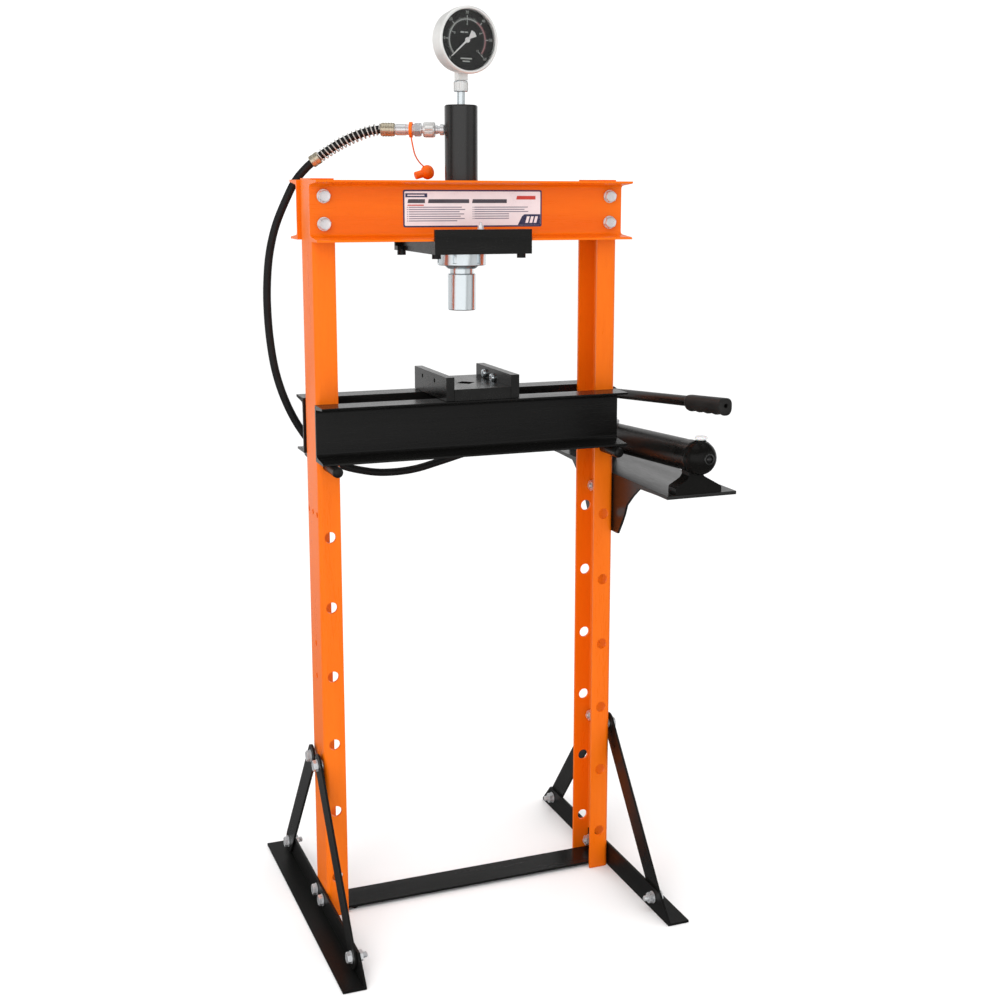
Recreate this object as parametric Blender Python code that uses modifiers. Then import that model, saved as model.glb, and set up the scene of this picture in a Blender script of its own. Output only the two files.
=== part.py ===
"""Hydraulic shop press with a separate hand pump.

Every dimension is in millimetres and is turned into metres when a mesh is made.
Press axes: X across the frame, Y to the rear, Z up, with X = 0 midway between
the uprights and Y = 0 in the middle of their depth. The whole press is then
moved by SHIFT so that the middle of its bounding box stands on the origin.
"""

import math

import bmesh
import bpy
from mathutils import Matrix, Vector

MM = 0.001
SHIFT = Vector((-46.15, 34.456, 0.0))
GAP = 0.3

# Frame
FRAME_WIDTH = 540.0
HALF = FRAME_WIDTH / 2
UPRIGHT_DEPTH = 82.0
UPRIGHT_FLANGE = 37.0
UPRIGHT_WALL = 5.0
UPRIGHT_HEIGHT = 1274.0
HOLE_X = 251.4
HOLE_TOP_Z = 805.0
HOLE_PITCH = 122.0
HOLE_COUNT = 7
HOLE_R = 9.75
WEB_HOLE_R = 5.3

# Head
HEAD_BOTTOM = 1174.0
HEAD_TOP = 1271.5
HEAD_FLANGE = 50.7
HEAD_HALF = 275.0
HEAD_WALL = 5.0
HEAD_BOLT_X = 252.0
HEAD_BOLT_Z = (1246.0, 1201.8)

# Bed
BED_BOTTOM = 814.3
BED_TOP = 909.0
BED_WEB_Y = 41.6
BED_FLANGE = 48.4
BED_HALF = 273.0
PIN_R = 9.0

# Feet, braces, crossbar
FOOT_FRONT = -291.0
FOOT_REAR = 280.0
FOOT_HEIGHT = 43.0
FOOT_WALL = 4.0
FOOT_OUT = 309.5
FOOT_BOLT_Y = 22.0
FOOT_BOLT_Z = 25.0
BRACE_WIDTH = 40.0
BRACE_WALL = 4.0
BRACE_TOP = (24.0, 277.0)
BRACE_FOOT = (229.0, 25.3)
BAR_HALF_Y = 31.0

# Cylinder, ram and gauge
AXIS_X = -2.2
BARREL_R = 27.8
BARREL_TOP = 1395.6
RING_R = 41.3
RAM_R = 20.0
SADDLE_R = 23.8
SADDLE_BOTTOM = 1054.0
SADDLE_TOP = 1115.7
GAUGE_Z = 1498.8
GAUGE_TURN = math.radians(8.5)

# Hose
COUPLER_Z = 1355.0
COUPLER_TURN = math.radians(25.0)
HOSE_R = 6.8

# Pump
PUMP_X = 322.0
SHELF_TOP = 755.5
SHELF_OUT = 401.8
SHELF_WALL = 4.5
TANK_R = 26.5
TANK_FRONT = Vector((PUMP_X, -222.0, 818.0))
TANK_REAR = Vector((PUMP_X, 112.2, 799.2))
HANDLE_PIVOT = Vector((322.0, 187.0, 873.8))
HANDLE_SLOPE = math.radians(5.0)

ORANGE = (0.87, 0.19, 0.02, 1.0)
BLACK = (0.012, 0.012, 0.013, 1.0)
DARK = (0.03, 0.03, 0.032, 1.0)
STEEL = (0.55, 0.55, 0.56, 1.0)
CHROME = (0.78, 0.78, 0.8, 1.0)
ZINC = (0.7, 0.7, 0.72, 1.0)
YELLOW_ZINC = (0.62, 0.5, 0.25, 1.0)
RUBBER = (0.015, 0.015, 0.015, 1.0)
ORANGE_PLASTIC = (0.95, 0.2, 0.01, 1.0)
WHITE_PLASTIC = (0.8, 0.8, 0.78, 1.0)

for old in list(bpy.data.objects):
    bpy.data.objects.remove(old, do_unlink=True)

parts = bpy.data.collections.new("hydraulic_shop_press")
bpy.context.scene.collection.children.link(parts)
cutters = bpy.data.collections.new("cutters")
bpy.context.scene.collection.children.link(cutters)
cutters.hide_render = True


def material(name, colour, roughness, metallic):
    made = bpy.data.materials.new(name)
    made.use_nodes = True
    shader = made.node_tree.nodes["Principled BSDF"]
    shader.inputs["Base Color"].default_value = colour
    shader.inputs["Roughness"].default_value = roughness
    shader.inputs["Metallic"].default_value = metallic
    made.diffuse_color = colour
    return made


FINISH = {
    "orange": (ORANGE, 0.3, 0.0),
    "black": (BLACK, 0.25, 0.0),
    "dark": (DARK, 0.5, 0.0),
    "steel": (STEEL, 0.35, 1.0),
    "chrome": (CHROME, 0.1, 1.0),
    "zinc": (ZINC, 0.3, 1.0),
    "yellow_zinc": (YELLOW_ZINC, 0.3, 1.0),
    "rubber": (RUBBER, 0.7, 0.0),
    "orange_plastic": (ORANGE_PLASTIC, 0.4, 0.0),
    "white_plastic": (WHITE_PLASTIC, 0.3, 0.0),
    "dial": (BLACK, 0.6, 0.0),
    "glass": ((0.9, 0.95, 0.95, 0.35), 0.02, 0.0),
}


def link(mesh, name, finish, origin=None):
    """Puts a mesh made in press millimetres into the scene as an object whose origin is at `origin`."""
    place = (Vector(origin) if origin is not None else Vector((0, 0, 0))) + SHIFT
    if origin is None:
        place = Vector((0.0, 0.0, 0.0))
        move = SHIFT
    else:
        move = -Vector(origin)
    for vertex in mesh.vertices:
        vertex.co = (vertex.co + move) * MM
    obj = bpy.data.objects.new(name, mesh)
    obj.location = place * MM
    if finish is None:
        cutters.objects.link(obj)
        obj.hide_render = True
        obj.display_type = "WIRE"
    else:
        obj.data.materials.append(material(name, *FINISH[finish]))
        parts.objects.link(obj)
    return obj


def from_bmesh(bm, name, finish, origin=None):
    bmesh.ops.remove_doubles(bm, verts=bm.verts, dist=1e-4)
    bmesh.ops.recalc_face_normals(bm, faces=bm.faces)
    mesh = bpy.data.meshes.new(name)
    bm.to_mesh(mesh)
    bm.free()
    return link(mesh, name, finish, origin)


def place_2d(axis, u, v, w):
    return {"X": (w, u, v), "Y": (u, w, v), "Z": (u, v, w)}[axis]


def prism(name, outline, axis, start, end, finish, origin=None):
    """An outline, (y, z), (x, z) or (x, y) for axis X, Y or Z, drawn out from start to end."""
    bm = bmesh.new()
    low = [bm.verts.new(place_2d(axis, u, v, start)) for u, v in outline]
    high = [bm.verts.new(place_2d(axis, u, v, end)) for u, v in outline]
    count = len(outline)
    bm.faces.new(low)
    bm.faces.new(high)
    for i in range(count):
        j = (i + 1) % count
        bm.faces.new((low[i], low[j], high[j], high[i]))
    return from_bmesh(bm, name, finish, origin)


def basis(direction):
    """Two unit vectors square to the direction."""
    w = Vector(direction).normalized()
    helper = Vector((0, 0, 1)) if abs(w.z) < 0.9 else Vector((1, 0, 0))
    u = helper.cross(w).normalized()
    return u, w.cross(u), w


def turned(name, profile, centre, direction, segments, finish, origin=None, phase=0.0):
    """A closed (radius, height) profile turned about a line through centre."""
    u, v, w = basis(direction)
    centre = Vector(centre)
    bm = bmesh.new()
    rings = []
    for radius, height in profile:
        if radius < 1e-6:
            rings.append([bm.verts.new(centre + w * height)])
            continue
        ring = []
        for i in range(segments):
            a = phase + 2 * math.pi * i / segments
            ring.append(
                bm.verts.new(
                    centre
                    + w * height
                    + u * (radius * math.cos(a))
                    + v * (radius * math.sin(a))
                )
            )
        rings.append(ring)
    for a, b in zip(rings, rings[1:] + rings[:1]):
        if len(a) == 1 and len(b) == 1:
            continue
        for i in range(segments):
            j = (i + 1) % segments
            corners = []
            for vertex in (a[i % len(a)], a[j % len(a)], b[j % len(b)], b[i % len(b)]):
                if vertex not in corners:
                    corners.append(vertex)
            bm.faces.new(corners)
    return from_bmesh(bm, name, finish, origin)


def rod(name, centre, direction, radius, start, end, finish, segments=32, origin=None):
    return turned(
        name,
        [(0, start), (radius, start), (radius, end), (0, end)],
        centre,
        direction,
        segments,
        finish,
        origin,
    )


def box(name, x0, x1, y0, y1, z0, z1, finish, origin=None):
    return prism(
        name, [(x0, y0), (x1, y0), (x1, y1), (x0, y1)], "Z", z0, z1, finish, origin
    )


def combine(target, tools, operation):
    for tool in tools:
        step = target.modifiers.new(tool.name, "BOOLEAN")
        step.operation = operation
        step.solver = "EXACT"
        step.object = tool


def cut(target, tools):
    """Takes separate cutters, which don't touch each other, out of the target in one step."""
    if len(tools) > 1:
        bm = bmesh.new()
        for tool in tools:
            bm.from_mesh(tool.data)
            cutters.objects.unlink(tool)
        mesh = bpy.data.meshes.new(target.name + "_cutter")
        bm.to_mesh(mesh)
        bm.free()
        whole = bpy.data.objects.new(target.name + "_cutter", mesh)
        cutters.objects.link(whole)
        whole.hide_render = True
        whole.display_type = "WIRE"
        for tool in tools:
            bpy.data.objects.remove(tool, do_unlink=True)
        tools = [whole]
    combine(target, tools, "DIFFERENCE")


def join(target, tools):
    combine(target, tools, "UNION")


def arc(cx, cy, radius, start, end, steps):
    return [
        (
            cx + radius * math.cos(math.radians(start + (end - start) * i / steps)),
            cy + radius * math.sin(math.radians(start + (end - start) * i / steps)),
        )
        for i in range(steps + 1)
    ]


def channel_outline(depth, width, wall, bend):
    """(u, v): the web lies at u = 0..wall, and the flanges reach u = width at v = -depth/2 and depth/2."""
    h = depth / 2
    inner = max(bend - wall, 0.6)
    outline = [(width, -h)]
    outline += arc(bend, -h + bend, bend, 270, 180, 4)
    outline += arc(bend, h - bend, bend, 180, 90, 4)
    outline += [(width, h), (width, h - wall)]
    outline += arc(wall + inner, h - wall - inner, inner, 90, 180, 3)
    outline += arc(wall + inner, -h + wall + inner, inner, 180, 270, 3)
    outline += [(width, -h + wall)]
    return outline


def rolled_outline(depth, width, web, root, tip, fillet=6.5, toe=2.2, heel=1.5):
    """Like channel_outline, for a rolled section: the flanges taper from root to tip, with a fillet at the web and a round toe."""
    h = depth / 2

    def inner(u):
        return h - tip - (root - tip) * (width - u) / (width - web)

    def ease(start, corner, end, steps):
        curve = []
        for i in range(steps + 1):
            t = i / steps
            a, b, c = (1 - t) ** 2, 2 * t * (1 - t), t * t
            curve.append((a * start[0] + b * corner[0] + c * end[0], a * start[1] + b * corner[1] + c * end[1]))
        return curve

    upper = ease((width, inner(width) + toe), (width, inner(width)), (width - toe, inner(width - toe)), 2)
    upper += ease((web + fillet, inner(web + fillet)), (web, inner(web)), (web, inner(web) - fillet), 4)
    outline = [(width, -h)]
    outline += arc(heel, -h + heel, heel, 270, 180, 2)
    outline += arc(heel, h - heel, heel, 180, 90, 2)
    outline += [(width, h)] + upper
    outline += [(u, -v) for u, v in reversed(upper)]
    return outline


def sweep(name, route, outer, inner, segments, finish, origin=None):
    """A round bar, or a pipe when inner is over 0, that follows a route of points."""
    points = [Vector(p) for p in route]
    bm = bmesh.new()
    tangent = (points[1] - points[0]).normalized()
    side = basis(tangent)[0]
    frames = []
    for i, point in enumerate(points):
        before = points[max(i - 1, 0)]
        after = points[min(i + 1, len(points) - 1)]
        w = (after - before).normalized()
        side = (side - w * side.dot(w)).normalized()
        frames.append((point, side.copy(), w.cross(side)))

    def ring(frame, radius):
        point, u, v = frame
        return [
            bm.verts.new(
                point
                + u * (radius * math.cos(2 * math.pi * k / segments))
                + v * (radius * math.sin(2 * math.pi * k / segments))
            )
            for k in range(segments)
        ]

    def skin(rings):
        for a, b in zip(rings, rings[1:]):
            for k in range(segments):
                m = (k + 1) % segments
                bm.faces.new((a[k], a[m], b[m], b[k]))

    outside = [ring(f, outer) for f in frames]
    skin(outside)
    if inner > 0:
        inside = [ring(f, inner) for f in frames]
        skin(inside)
        for a, b in ((outside[0], inside[0]), (outside[-1], inside[-1])):
            for k in range(segments):
                m = (k + 1) % segments
                bm.faces.new((a[k], a[m], b[m], b[k]))
    else:
        bm.faces.new(outside[0])
        bm.faces.new(outside[-1])
    return from_bmesh(bm, name, finish, origin)


def smooth_route(points, spacing):
    """Evenly spaced points along a Catmull-Rom curve through the given ones."""
    p = [Vector(q) for q in points]
    p = [p[0] * 2 - p[1]] + p + [p[-1] * 2 - p[-2]]
    fine = []
    for i in range(1, len(p) - 2):
        for k in range(24):
            t = k / 24
            fine.append(
                0.5
                * (
                    2 * p[i]
                    + (p[i + 1] - p[i - 1]) * t
                    + (2 * p[i - 1] - 5 * p[i] + 4 * p[i + 1] - p[i + 2]) * t**2
                    + (3 * p[i] - p[i - 1] - 3 * p[i + 1] + p[i + 2]) * t**3
                )
            )
    fine.append(p[-2])
    lengths = [0.0]
    for a, b in zip(fine, fine[1:]):
        lengths.append(lengths[-1] + (b - a).length)
    count = max(2, round(lengths[-1] / spacing))
    route = []
    j = 0
    for i in range(count + 1):
        want = lengths[-1] * i / count
        while j < len(lengths) - 2 and lengths[j + 1] < want:
            j += 1
        part = (want - lengths[j]) / max(lengths[j + 1] - lengths[j], 1e-9)
        route.append(fine[j].lerp(fine[j + 1], min(max(part, 0), 1)))
    return route


def stack(name, point, direction, levels, finish, segments=12, origin=None):
    """A closed solid of rings along a direction; each level is (height, radius, flats) with flats True for a hexagon."""
    u, v, w = basis(direction)
    point = Vector(point)
    bm = bmesh.new()
    rings = []
    for height, radius, flats in levels:
        ring = []
        for i in range(segments):
            a = 2 * math.pi * i / segments
            r = radius
            if flats:
                r = radius / math.cos((a + math.pi / 6) % (math.pi / 3) - math.pi / 6)
            ring.append(bm.verts.new(point + w * height + (u * math.cos(a) + v * math.sin(a)) * r))
        rings.append(ring)
    for a, b in zip(rings, rings[1:]):
        for i in range(segments):
            j = (i + 1) % segments
            bm.faces.new((a[i], a[j], b[j], b[i]))
    bm.faces.new(rings[0])
    bm.faces.new(rings[-1])
    return from_bmesh(bm, name, finish, origin)


def fastener(name, point, direction, shank_r, reach, flats, head, nut, collar=None):
    """A hex bolt through point: the head's washer seats at reach[0] along the direction and the nut's washer at reach[1]."""
    a, b = reach
    washer = flats / 2 + 1.5
    levels = [
        (a - 1.8 - head, flats / 2, True),
        (a - 1.8, flats / 2, True),
        (a - 1.8, washer, False),
        (a, washer, False),
        (a, shank_r, False),
    ]
    if collar:
        levels += [
            (collar[1], shank_r, False), (collar[1], collar[0], False),
            (collar[2], collar[0], False), (collar[2], shank_r, False),
        ]
    levels += [
        (b, shank_r, False), (b, washer, False), (b + 1.8, washer, False), (b + 1.8, flats / 2, True),
        (b + nut, flats / 2, True), (b + nut, shank_r, False), (b + nut + 2.5, shank_r - 0.8, False),
    ]
    return stack(name, point, direction, levels, "zinc")


def drill(name, point, direction, radius, start, end, segments=16):
    return turned(
        name,
        [(0, start), (radius, start), (radius, end), (0, end)],
        point, direction, segments, None, phase=0.07,
    )


# Uprights: channels with the web outside and the flanges turned in.
side_name = {-1: "left", 1: "right"}
for s in (-1, 1):
    outline = [
        (s * (HALF - u), v)
        for u, v in channel_outline(UPRIGHT_DEPTH, UPRIGHT_FLANGE, UPRIGHT_WALL, 8.0)
    ]
    upright = prism(
        "upright_" + side_name[s], outline, "Z", 0.0, UPRIGHT_HEIGHT, "orange"
    )
    holes = []
    for k in range(HOLE_COUNT):
        z = HOLE_TOP_Z - HOLE_PITCH * k
        holes.append(
            drill("pin_hole_%s_%d" % (side_name[s], k), (s * HOLE_X, 0, z), (0, 1, 0), HOLE_R, -60, 60, 20)
        )
    for k, z in enumerate(HEAD_BOLT_Z):
        holes.append(
            drill("head_hole_%s_%d" % (side_name[s], k), (s * HEAD_BOLT_X, 0, z), (0, 1, 0), 6.3, -60, 60, 12)
        )
    web = [(28.0, 721.0), (0.0, 721.0), (-28.0, 721.0), (0.0, 490.0), (0.0, 431.0)]
    web += [(y, BRACE_TOP[1]) for y in (-BRACE_TOP[0], BRACE_TOP[0])]
    web += [(y, FOOT_BOLT_Z) for y in (-FOOT_BOLT_Y, FOOT_BOLT_Y)]
    for k, (y, z) in enumerate(web):
        holes.append(
            drill("web_hole_%s_%d" % (side_name[s], k), (s * HALF, y, z), (1, 0, 0), WEB_HOLE_R, -12, 12, 12)
        )
    cut(upright, holes)

# Head: two channels back to back outside the flanges of the uprights.
for s, name in ((-1, "head_beam_front"), (1, "head_beam_rear")):
    outline = [
        (s * (41.0 + GAP + u), (HEAD_BOTTOM + HEAD_TOP) / 2 + v)
        for u, v in rolled_outline(HEAD_TOP - HEAD_BOTTOM, HEAD_FLANGE, HEAD_WALL, 8.0, 3.6)
    ]
    beam = prism(name, outline, "X", -HEAD_HALF, HEAD_HALF, "orange")
    cut(
        beam,
        [
            drill("%s_hole_%d_%d" % (name, k, m), (x, s * 44.0, z), (0, 1, 0), 6.3, -8, 8, 12)
            for k, x in enumerate((-HEAD_BOLT_X, HEAD_BOLT_X))
            for m, z in enumerate(HEAD_BOLT_Z)
        ],
    )
for x, side in ((-HEAD_BOLT_X, "left"), (HEAD_BOLT_X, "right")):
    for z, level in zip(HEAD_BOLT_Z, ("upper", "lower")):
        fastener(
            "head_bolt_%s_%s" % (side, level), (x, 0, z), (0, 1, 0), 6.0, (-46.6, 46.6), 18.0, 8.0, 10.5
        )

# Feet: angle irons that run front to rear outside the webs.
SLANT = 38.0
for s in (-1, 1):
    side = side_name[s]
    outline = [
        (s * (HALF + GAP), 0.0),
        (s * FOOT_OUT, 0.0),
        (s * FOOT_OUT, FOOT_WALL),
        (s * (HALF + GAP + FOOT_WALL), FOOT_WALL),
        (s * (HALF + GAP + FOOT_WALL), FOOT_HEIGHT),
        (s * (HALF + GAP), FOOT_HEIGHT),
    ]
    foot = prism("foot_" + side, outline, "Y", FOOT_FRONT, FOOT_REAR, "black")
    trims = []
    for end, sign in ((FOOT_FRONT, 1), (FOOT_REAR, -1)):
        corner = [
            (end - sign * 5.0, FOOT_WALL + 0.02),
            (end, FOOT_WALL + 0.02),
            (end + sign * SLANT, FOOT_HEIGHT + 0.02),
            (end + sign * SLANT, FOOT_HEIGHT + 6.0),
            (end - sign * 5.0, FOOT_HEIGHT + 6.0),
        ]
        trims.append(
            prism(
                "foot_trim_%s_%d" % (side, sign),
                corner,
                "X",
                min(s * (HALF - 3), s * (HALF + 12)),
                max(s * (HALF - 3), s * (HALF + 12)),
                None,
            )
        )
    for k, (y, z) in enumerate(
        [(-FOOT_BOLT_Y, FOOT_BOLT_Z), (FOOT_BOLT_Y, FOOT_BOLT_Z)]
        + [(-BRACE_FOOT[0], BRACE_FOOT[1]), (BRACE_FOOT[0], BRACE_FOOT[1])]
    ):
        trims.append(
            drill("foot_hole_%s_%d" % (side, k), (s * HALF, y, z), (1, 0, 0), WEB_HOLE_R, -12, 12, 12)
        )
    cut(foot, trims)

    # Braces: flat bars from the web to the ends of the foot.
    for f, where in ((-1, "front"), (1, "rear")):
        top = Vector((f * BRACE_TOP[0], BRACE_TOP[1]))
        low = Vector((f * BRACE_FOOT[0], BRACE_FOOT[1]))
        along = math.degrees(math.atan2(low.y - top.y, low.x - top.x))
        r = BRACE_WIDTH / 2
        outline = arc(top.x, top.y, r, along + 90, along + 270, 10)
        outline += arc(low.x, low.y, r, along - 90, along + 90, 10)
        near = HALF + 2 * GAP + FOOT_WALL
        brace = prism(
            "brace_%s_%s" % (side, where),
            outline,
            "X",
            min(s * near, s * (near + BRACE_WALL)),
            max(s * near, s * (near + BRACE_WALL)),
            "black",
        )
        cut(
            brace,
            [
                drill("brace_hole_%s_%s_%d" % (side, where, k), (s * HALF, p.x, p.y), (1, 0, 0), WEB_HOLE_R, -14, 14, 12)
                for k, p in enumerate((top, low))
            ],
        )
        fastener(
            "brace_bolt_%s_%s" % (side, where),
            (0, f * BRACE_TOP[0], BRACE_TOP[1]),
            (-s, 0, 0),
            5.0,
            (-(near + BRACE_WALL + GAP), -(HALF - UPRIGHT_WALL - GAP)),
            17.0,
            6.4,
            9.0,
            collar=(9.0, -(near - GAP), -(HALF + GAP)),
        )
    for y, where in ((-FOOT_BOLT_Y, "front"), (FOOT_BOLT_Y, "rear")):
        fastener(
            "foot_bolt_%s_%s" % (side, where),
            (0, y, FOOT_BOLT_Z),
            (-s, 0, 0),
            5.0,
            (-(HALF + 2 * GAP + FOOT_WALL), -(HALF - UPRIGHT_WALL - 2 * GAP - 4.0)),
            17.0,
            6.4,
            9.0,
        )

# Base crossbar: a flat bar with its ends turned up against the webs.
inner = HALF - UPRIGHT_WALL - GAP
bar = [
    (-inner, 5.0), (inner, 5.0), (inner, 46.0), (inner - 4.0, 46.0),
    (inner - 4.0, 9.0), (-inner + 4.0, 9.0), (-inner + 4.0, 46.0), (-inner, 46.0),
]
crossbar = prism("base_crossbar", bar, "Y", -BAR_HALF_Y, BAR_HALF_Y, "black")
cut(
    crossbar,
    [
        drill("bar_hole_%d_%d" % (s, k), (s * (HALF - 8), y, FOOT_BOLT_Z), (1, 0, 0), WEB_HOLE_R, -8, 8, 12)
        for s in (-1, 1)
        for k, y in enumerate((-FOOT_BOLT_Y, FOOT_BOLT_Y))
    ],
)

# Bed: two channels that rest on the pins and hold the uprights between them.
bed_mid = (BED_BOTTOM + BED_TOP) / 2
for s, name in ((-1, "bed_beam_front"), (1, "bed_beam_rear")):
    outline = [
        (s * (BED_WEB_Y + u), bed_mid + v)
        for u, v in rolled_outline(BED_TOP - BED_BOTTOM, BED_FLANGE, 5.0, 8.0, 3.8)
    ]
    prism(name, outline, "X", -BED_HALF, BED_HALF, "black")
for s in (-1, 1):
    rod(
        "bed_spacer_" + side_name[s], (s * 195.0, 0, 846.0), (0, 1, 0), 13.0,
        -(BED_WEB_Y - GAP), BED_WEB_Y - GAP, "black", 16,
    )
    turned(
        "bed_pin_" + side_name[s],
        [(0, -105.0), (5.0, -105.0), (7.8, -103.6), (PIN_R, -100.5), (PIN_R, 95.0), (7.5, 98.0), (0, 98.0)],
        (s * HOLE_X, 0, HOLE_TOP_Z), (0, 1, 0), 20, "black",
        origin=(s * HOLE_X, 0, HOLE_TOP_Z),
    )

# Arbor fixture on the bed: a bottom plate with an opening between two upright plates.
ARBOR_X0, ARBOR_X1 = -46.0, 54.5
arbor = box("arbor_base_plate", ARBOR_X0, ARBOR_X1, -87.0, 87.0, BED_TOP + GAP, BED_TOP + 20.0, "dark")
cut(
    arbor,
    [
        prism(
            "arbor_opening",
            [(-16.5, -10.0), (0.0, -28.0), (16.5, -10.0), (0.0, 8.0)],
            "Z", BED_TOP - 5, BED_TOP + 30, None,
        )
    ],
)
left_plate = box("arbor_side_left", ARBOR_X0 - GAP - 14.5, ARBOR_X0 - GAP, -87.0, 87.0, BED_TOP + GAP, 949.5, "dark")
cut(
    left_plate,
    [
        drill("arbor_hole_%d" % k, (-54.0, y, 937.5), (1, 0, 0), 3.4, -12, 12)
        for k, y in enumerate((42.0, -24.0))
    ],
)
box("arbor_side_right", ARBOR_X1 + GAP, ARBOR_X1 + GAP + 15.0, -87.0, 87.0, BED_TOP + GAP, 949.5, "dark")

# Cylinder carriage: a thick plate under the head with a lip over each flange edge.
CARRIAGE_X = 1.5
lip_in = 41.0 + GAP + HEAD_FLANGE + GAP
carriage = prism(
    "cylinder_carriage",
    [
        (-lip_in - 5.0, 1152.5), (lip_in + 5.0, 1152.5), (lip_in + 5.0, 1193.0), (lip_in, 1193.0),
        (lip_in, HEAD_BOTTOM - GAP), (-lip_in, HEAD_BOTTOM - GAP), (-lip_in, 1193.0), (-lip_in - 5.0, 1193.0),
    ],
    "X", -82.0, 87.6, "black",
)
trims = [drill("carriage_bore", (AXIS_X, 0, 1160), (0, 0, 1), BARREL_R + GAP, -20, 30, 36)]
studs = [
    rod("carriage_stud_%d" % k, (x, y, 1152), (0, 0, 1), 7.5, -7.5, 3.0, None, 14)
    for k, (x, y) in enumerate(((-70.0, -68.0), (80.0, -68.0), (-83.0, 84.0), (67.0, 68.0)))
]
# The rear lip stands further out to the left than the plate.
lip_tail = box(
    "carriage_lip_tail", -92.0, -76.0, lip_in - 14.0, lip_in + 4.95, 1152.55, 1160.0, None
)
lip_high = box(
    "carriage_lip_high", -92.0, -76.0, lip_in + 0.05, lip_in + 4.95, 1153.0, 1192.9, None
)
cut(carriage, trims)
join(carriage, [lip_tail, lip_high])
join(carriage, studs)

# Cylinder barrel with its shoulder above the carriage, lock ring, ram and saddle.
turned(
    "cylinder_barrel",
    [
        (RAM_R + GAP, 1131.6), (BARREL_R - 0.6, 1131.6), (BARREL_R, 1132.2), (BARREL_R, HEAD_BOTTOM),
        (36.0, HEAD_BOTTOM), (36.0, 1184.0), (34.0, 1186.0), (BARREL_R, 1186.0),
        (BARREL_R, BARREL_TOP - 2.0), (BARREL_R - 2.0, BARREL_TOP), (0, BARREL_TOP),
        (0, 1376.0), (RAM_R + GAP, 1376.0),
    ],
    (AXIS_X, 0, 0), (0, 0, 1), 36, "black",
)
ring = turned(
    "cylinder_lock_ring",
    [
        (RAM_R + GAP, 1124.2), (23.4, 1124.2), (24.4, 1124.6), (30.5, 1130.2), (40.3, 1130.2), (RING_R, 1131.2),
        (RING_R, 1151.2), (RING_R - 1.0, 1152.2), (BARREL_R + GAP, 1152.2), (BARREL_R + GAP, 1131.3),
        (RAM_R + GAP, 1131.3),
    ],
    (AXIS_X, 0, 0), (0, 0, 1), 36, "chrome",
)
slots = []
for k in range(6):
    a = math.radians(-66.0 + 60.0 * k)
    d = Vector((math.cos(a), math.sin(a), 0))
    n = Vector((-d.y, d.x, 0))
    c = Vector((AXIS_X, 0, 0))
    outline = [
        (p.x, p.y)
        for p in (c + d * 37.0 - n * 3.2, c + d * 46.0 - n * 3.2, c + d * 46.0 + n * 3.2, c + d * 37.0 + n * 3.2)
    ]
    slots.append(prism("ring_slot_%d" % k, outline, "Z", 1134.5, 1160.0, None))
cut(ring, slots)
rod("ram_rod", (AXIS_X, 0, 0), (0, 0, 1), RAM_R, SADDLE_TOP + GAP, 1368.0, "chrome", 32, origin=(AXIS_X, 0, SADDLE_TOP))
turned(
    "ram_saddle",
    [
        (0, SADDLE_BOTTOM), (SADDLE_R - 1.2, SADDLE_BOTTOM), (SADDLE_R, SADDLE_BOTTOM + 1.2),
        (SADDLE_R, SADDLE_TOP - 1.2), (SADDLE_R - 1.2, SADDLE_TOP), (0, SADDLE_TOP),
    ],
    (AXIS_X, 0, 0), (0, 0, 1), 36, "chrome", origin=(AXIS_X, 0, SADDLE_BOTTOM),
)

# Gauge on top of the cylinder.
turned(
    "gauge_stem",
    [
        (0, BARREL_TOP + GAP), (6.8, BARREL_TOP + GAP), (6.8, 1416.8), (10.9, 1416.8), (11.9, 1417.8),
        (11.9, 1433.6), (10.9, 1434.6), (6.8, 1434.6), (6.8, 1435.2), (0, 1435.2),
    ],
    (AXIS_X, 0, 0), (0, 0, 1), 24, "chrome",
)
facing = Vector((math.sin(GAUGE_TURN), -math.cos(GAUGE_TURN), 0))
across = Vector((math.cos(GAUGE_TURN), math.sin(GAUGE_TURN), 0))
gauge = Vector((AXIS_X, 0, GAUGE_Z))
case = turned(
    "gauge_case",
    [
        (0, -8.0), (45.5, -8.0), (49.6, -6.4), (51.3, -3.0), (51.3, 26.0), (49.2, 26.0), (49.2, 21.7), (0, 21.7),
    ],
    gauge, facing, 40, "steel",
)
block_half = 9.5
block = prism(
    "gauge_block",
    [
        tuple((Vector((AXIS_X, 0, 0)) + across * (i * block_half) + facing * (j * 6.5 + 1.0)).xy)
        for i, j in ((-1, -1), (1, -1), (1, 1), (-1, 1))
    ],
    "Z", 1435.5, 1462.0, None,
)
join(case, [block])
turned(
    "gauge_bezel",
    [
        (51.6, 17.0), (53.8, 17.0), (54.3, 17.6), (54.3, 29.4), (52.8, 31.0), (49.9, 31.0), (49.2, 30.3),
        (49.2, 28.6), (51.6, 28.6),
    ],
    gauge, facing, 40, "steel",
)
turned("gauge_dial", [(2.4, 22.0), (48.9, 22.0), (48.9, 23.0), (2.4, 23.0)], gauge, facing, 32, "dial")
turned("gauge_glass", [(0, 26.3), (51.3, 26.3), (51.3, 28.3), (0, 28.3)], gauge, facing, 32, "glass")
zero = math.radians(222.0)
needle_dir = across * math.cos(zero) + Vector((0, 0, 1)) * math.sin(zero)
needle_side = facing.cross(needle_dir)
base = gauge + facing * 23.6
needle_bm = bmesh.new()
shape = [(-15.0, -2.6), (-15.0, 2.6), (-6.0, 1.6), (4.0, 1.6), (36.0, 0.45), (36.0, -0.45), (4.0, -1.6), (-6.0, -1.6)]
under = [needle_bm.verts.new(base + needle_dir * a + needle_side * b) for a, b in shape]
over = [needle_bm.verts.new(base + needle_dir * a + needle_side * b + facing * 0.9) for a, b in shape]
needle_bm.faces.new(under)
needle_bm.faces.new(over)
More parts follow.
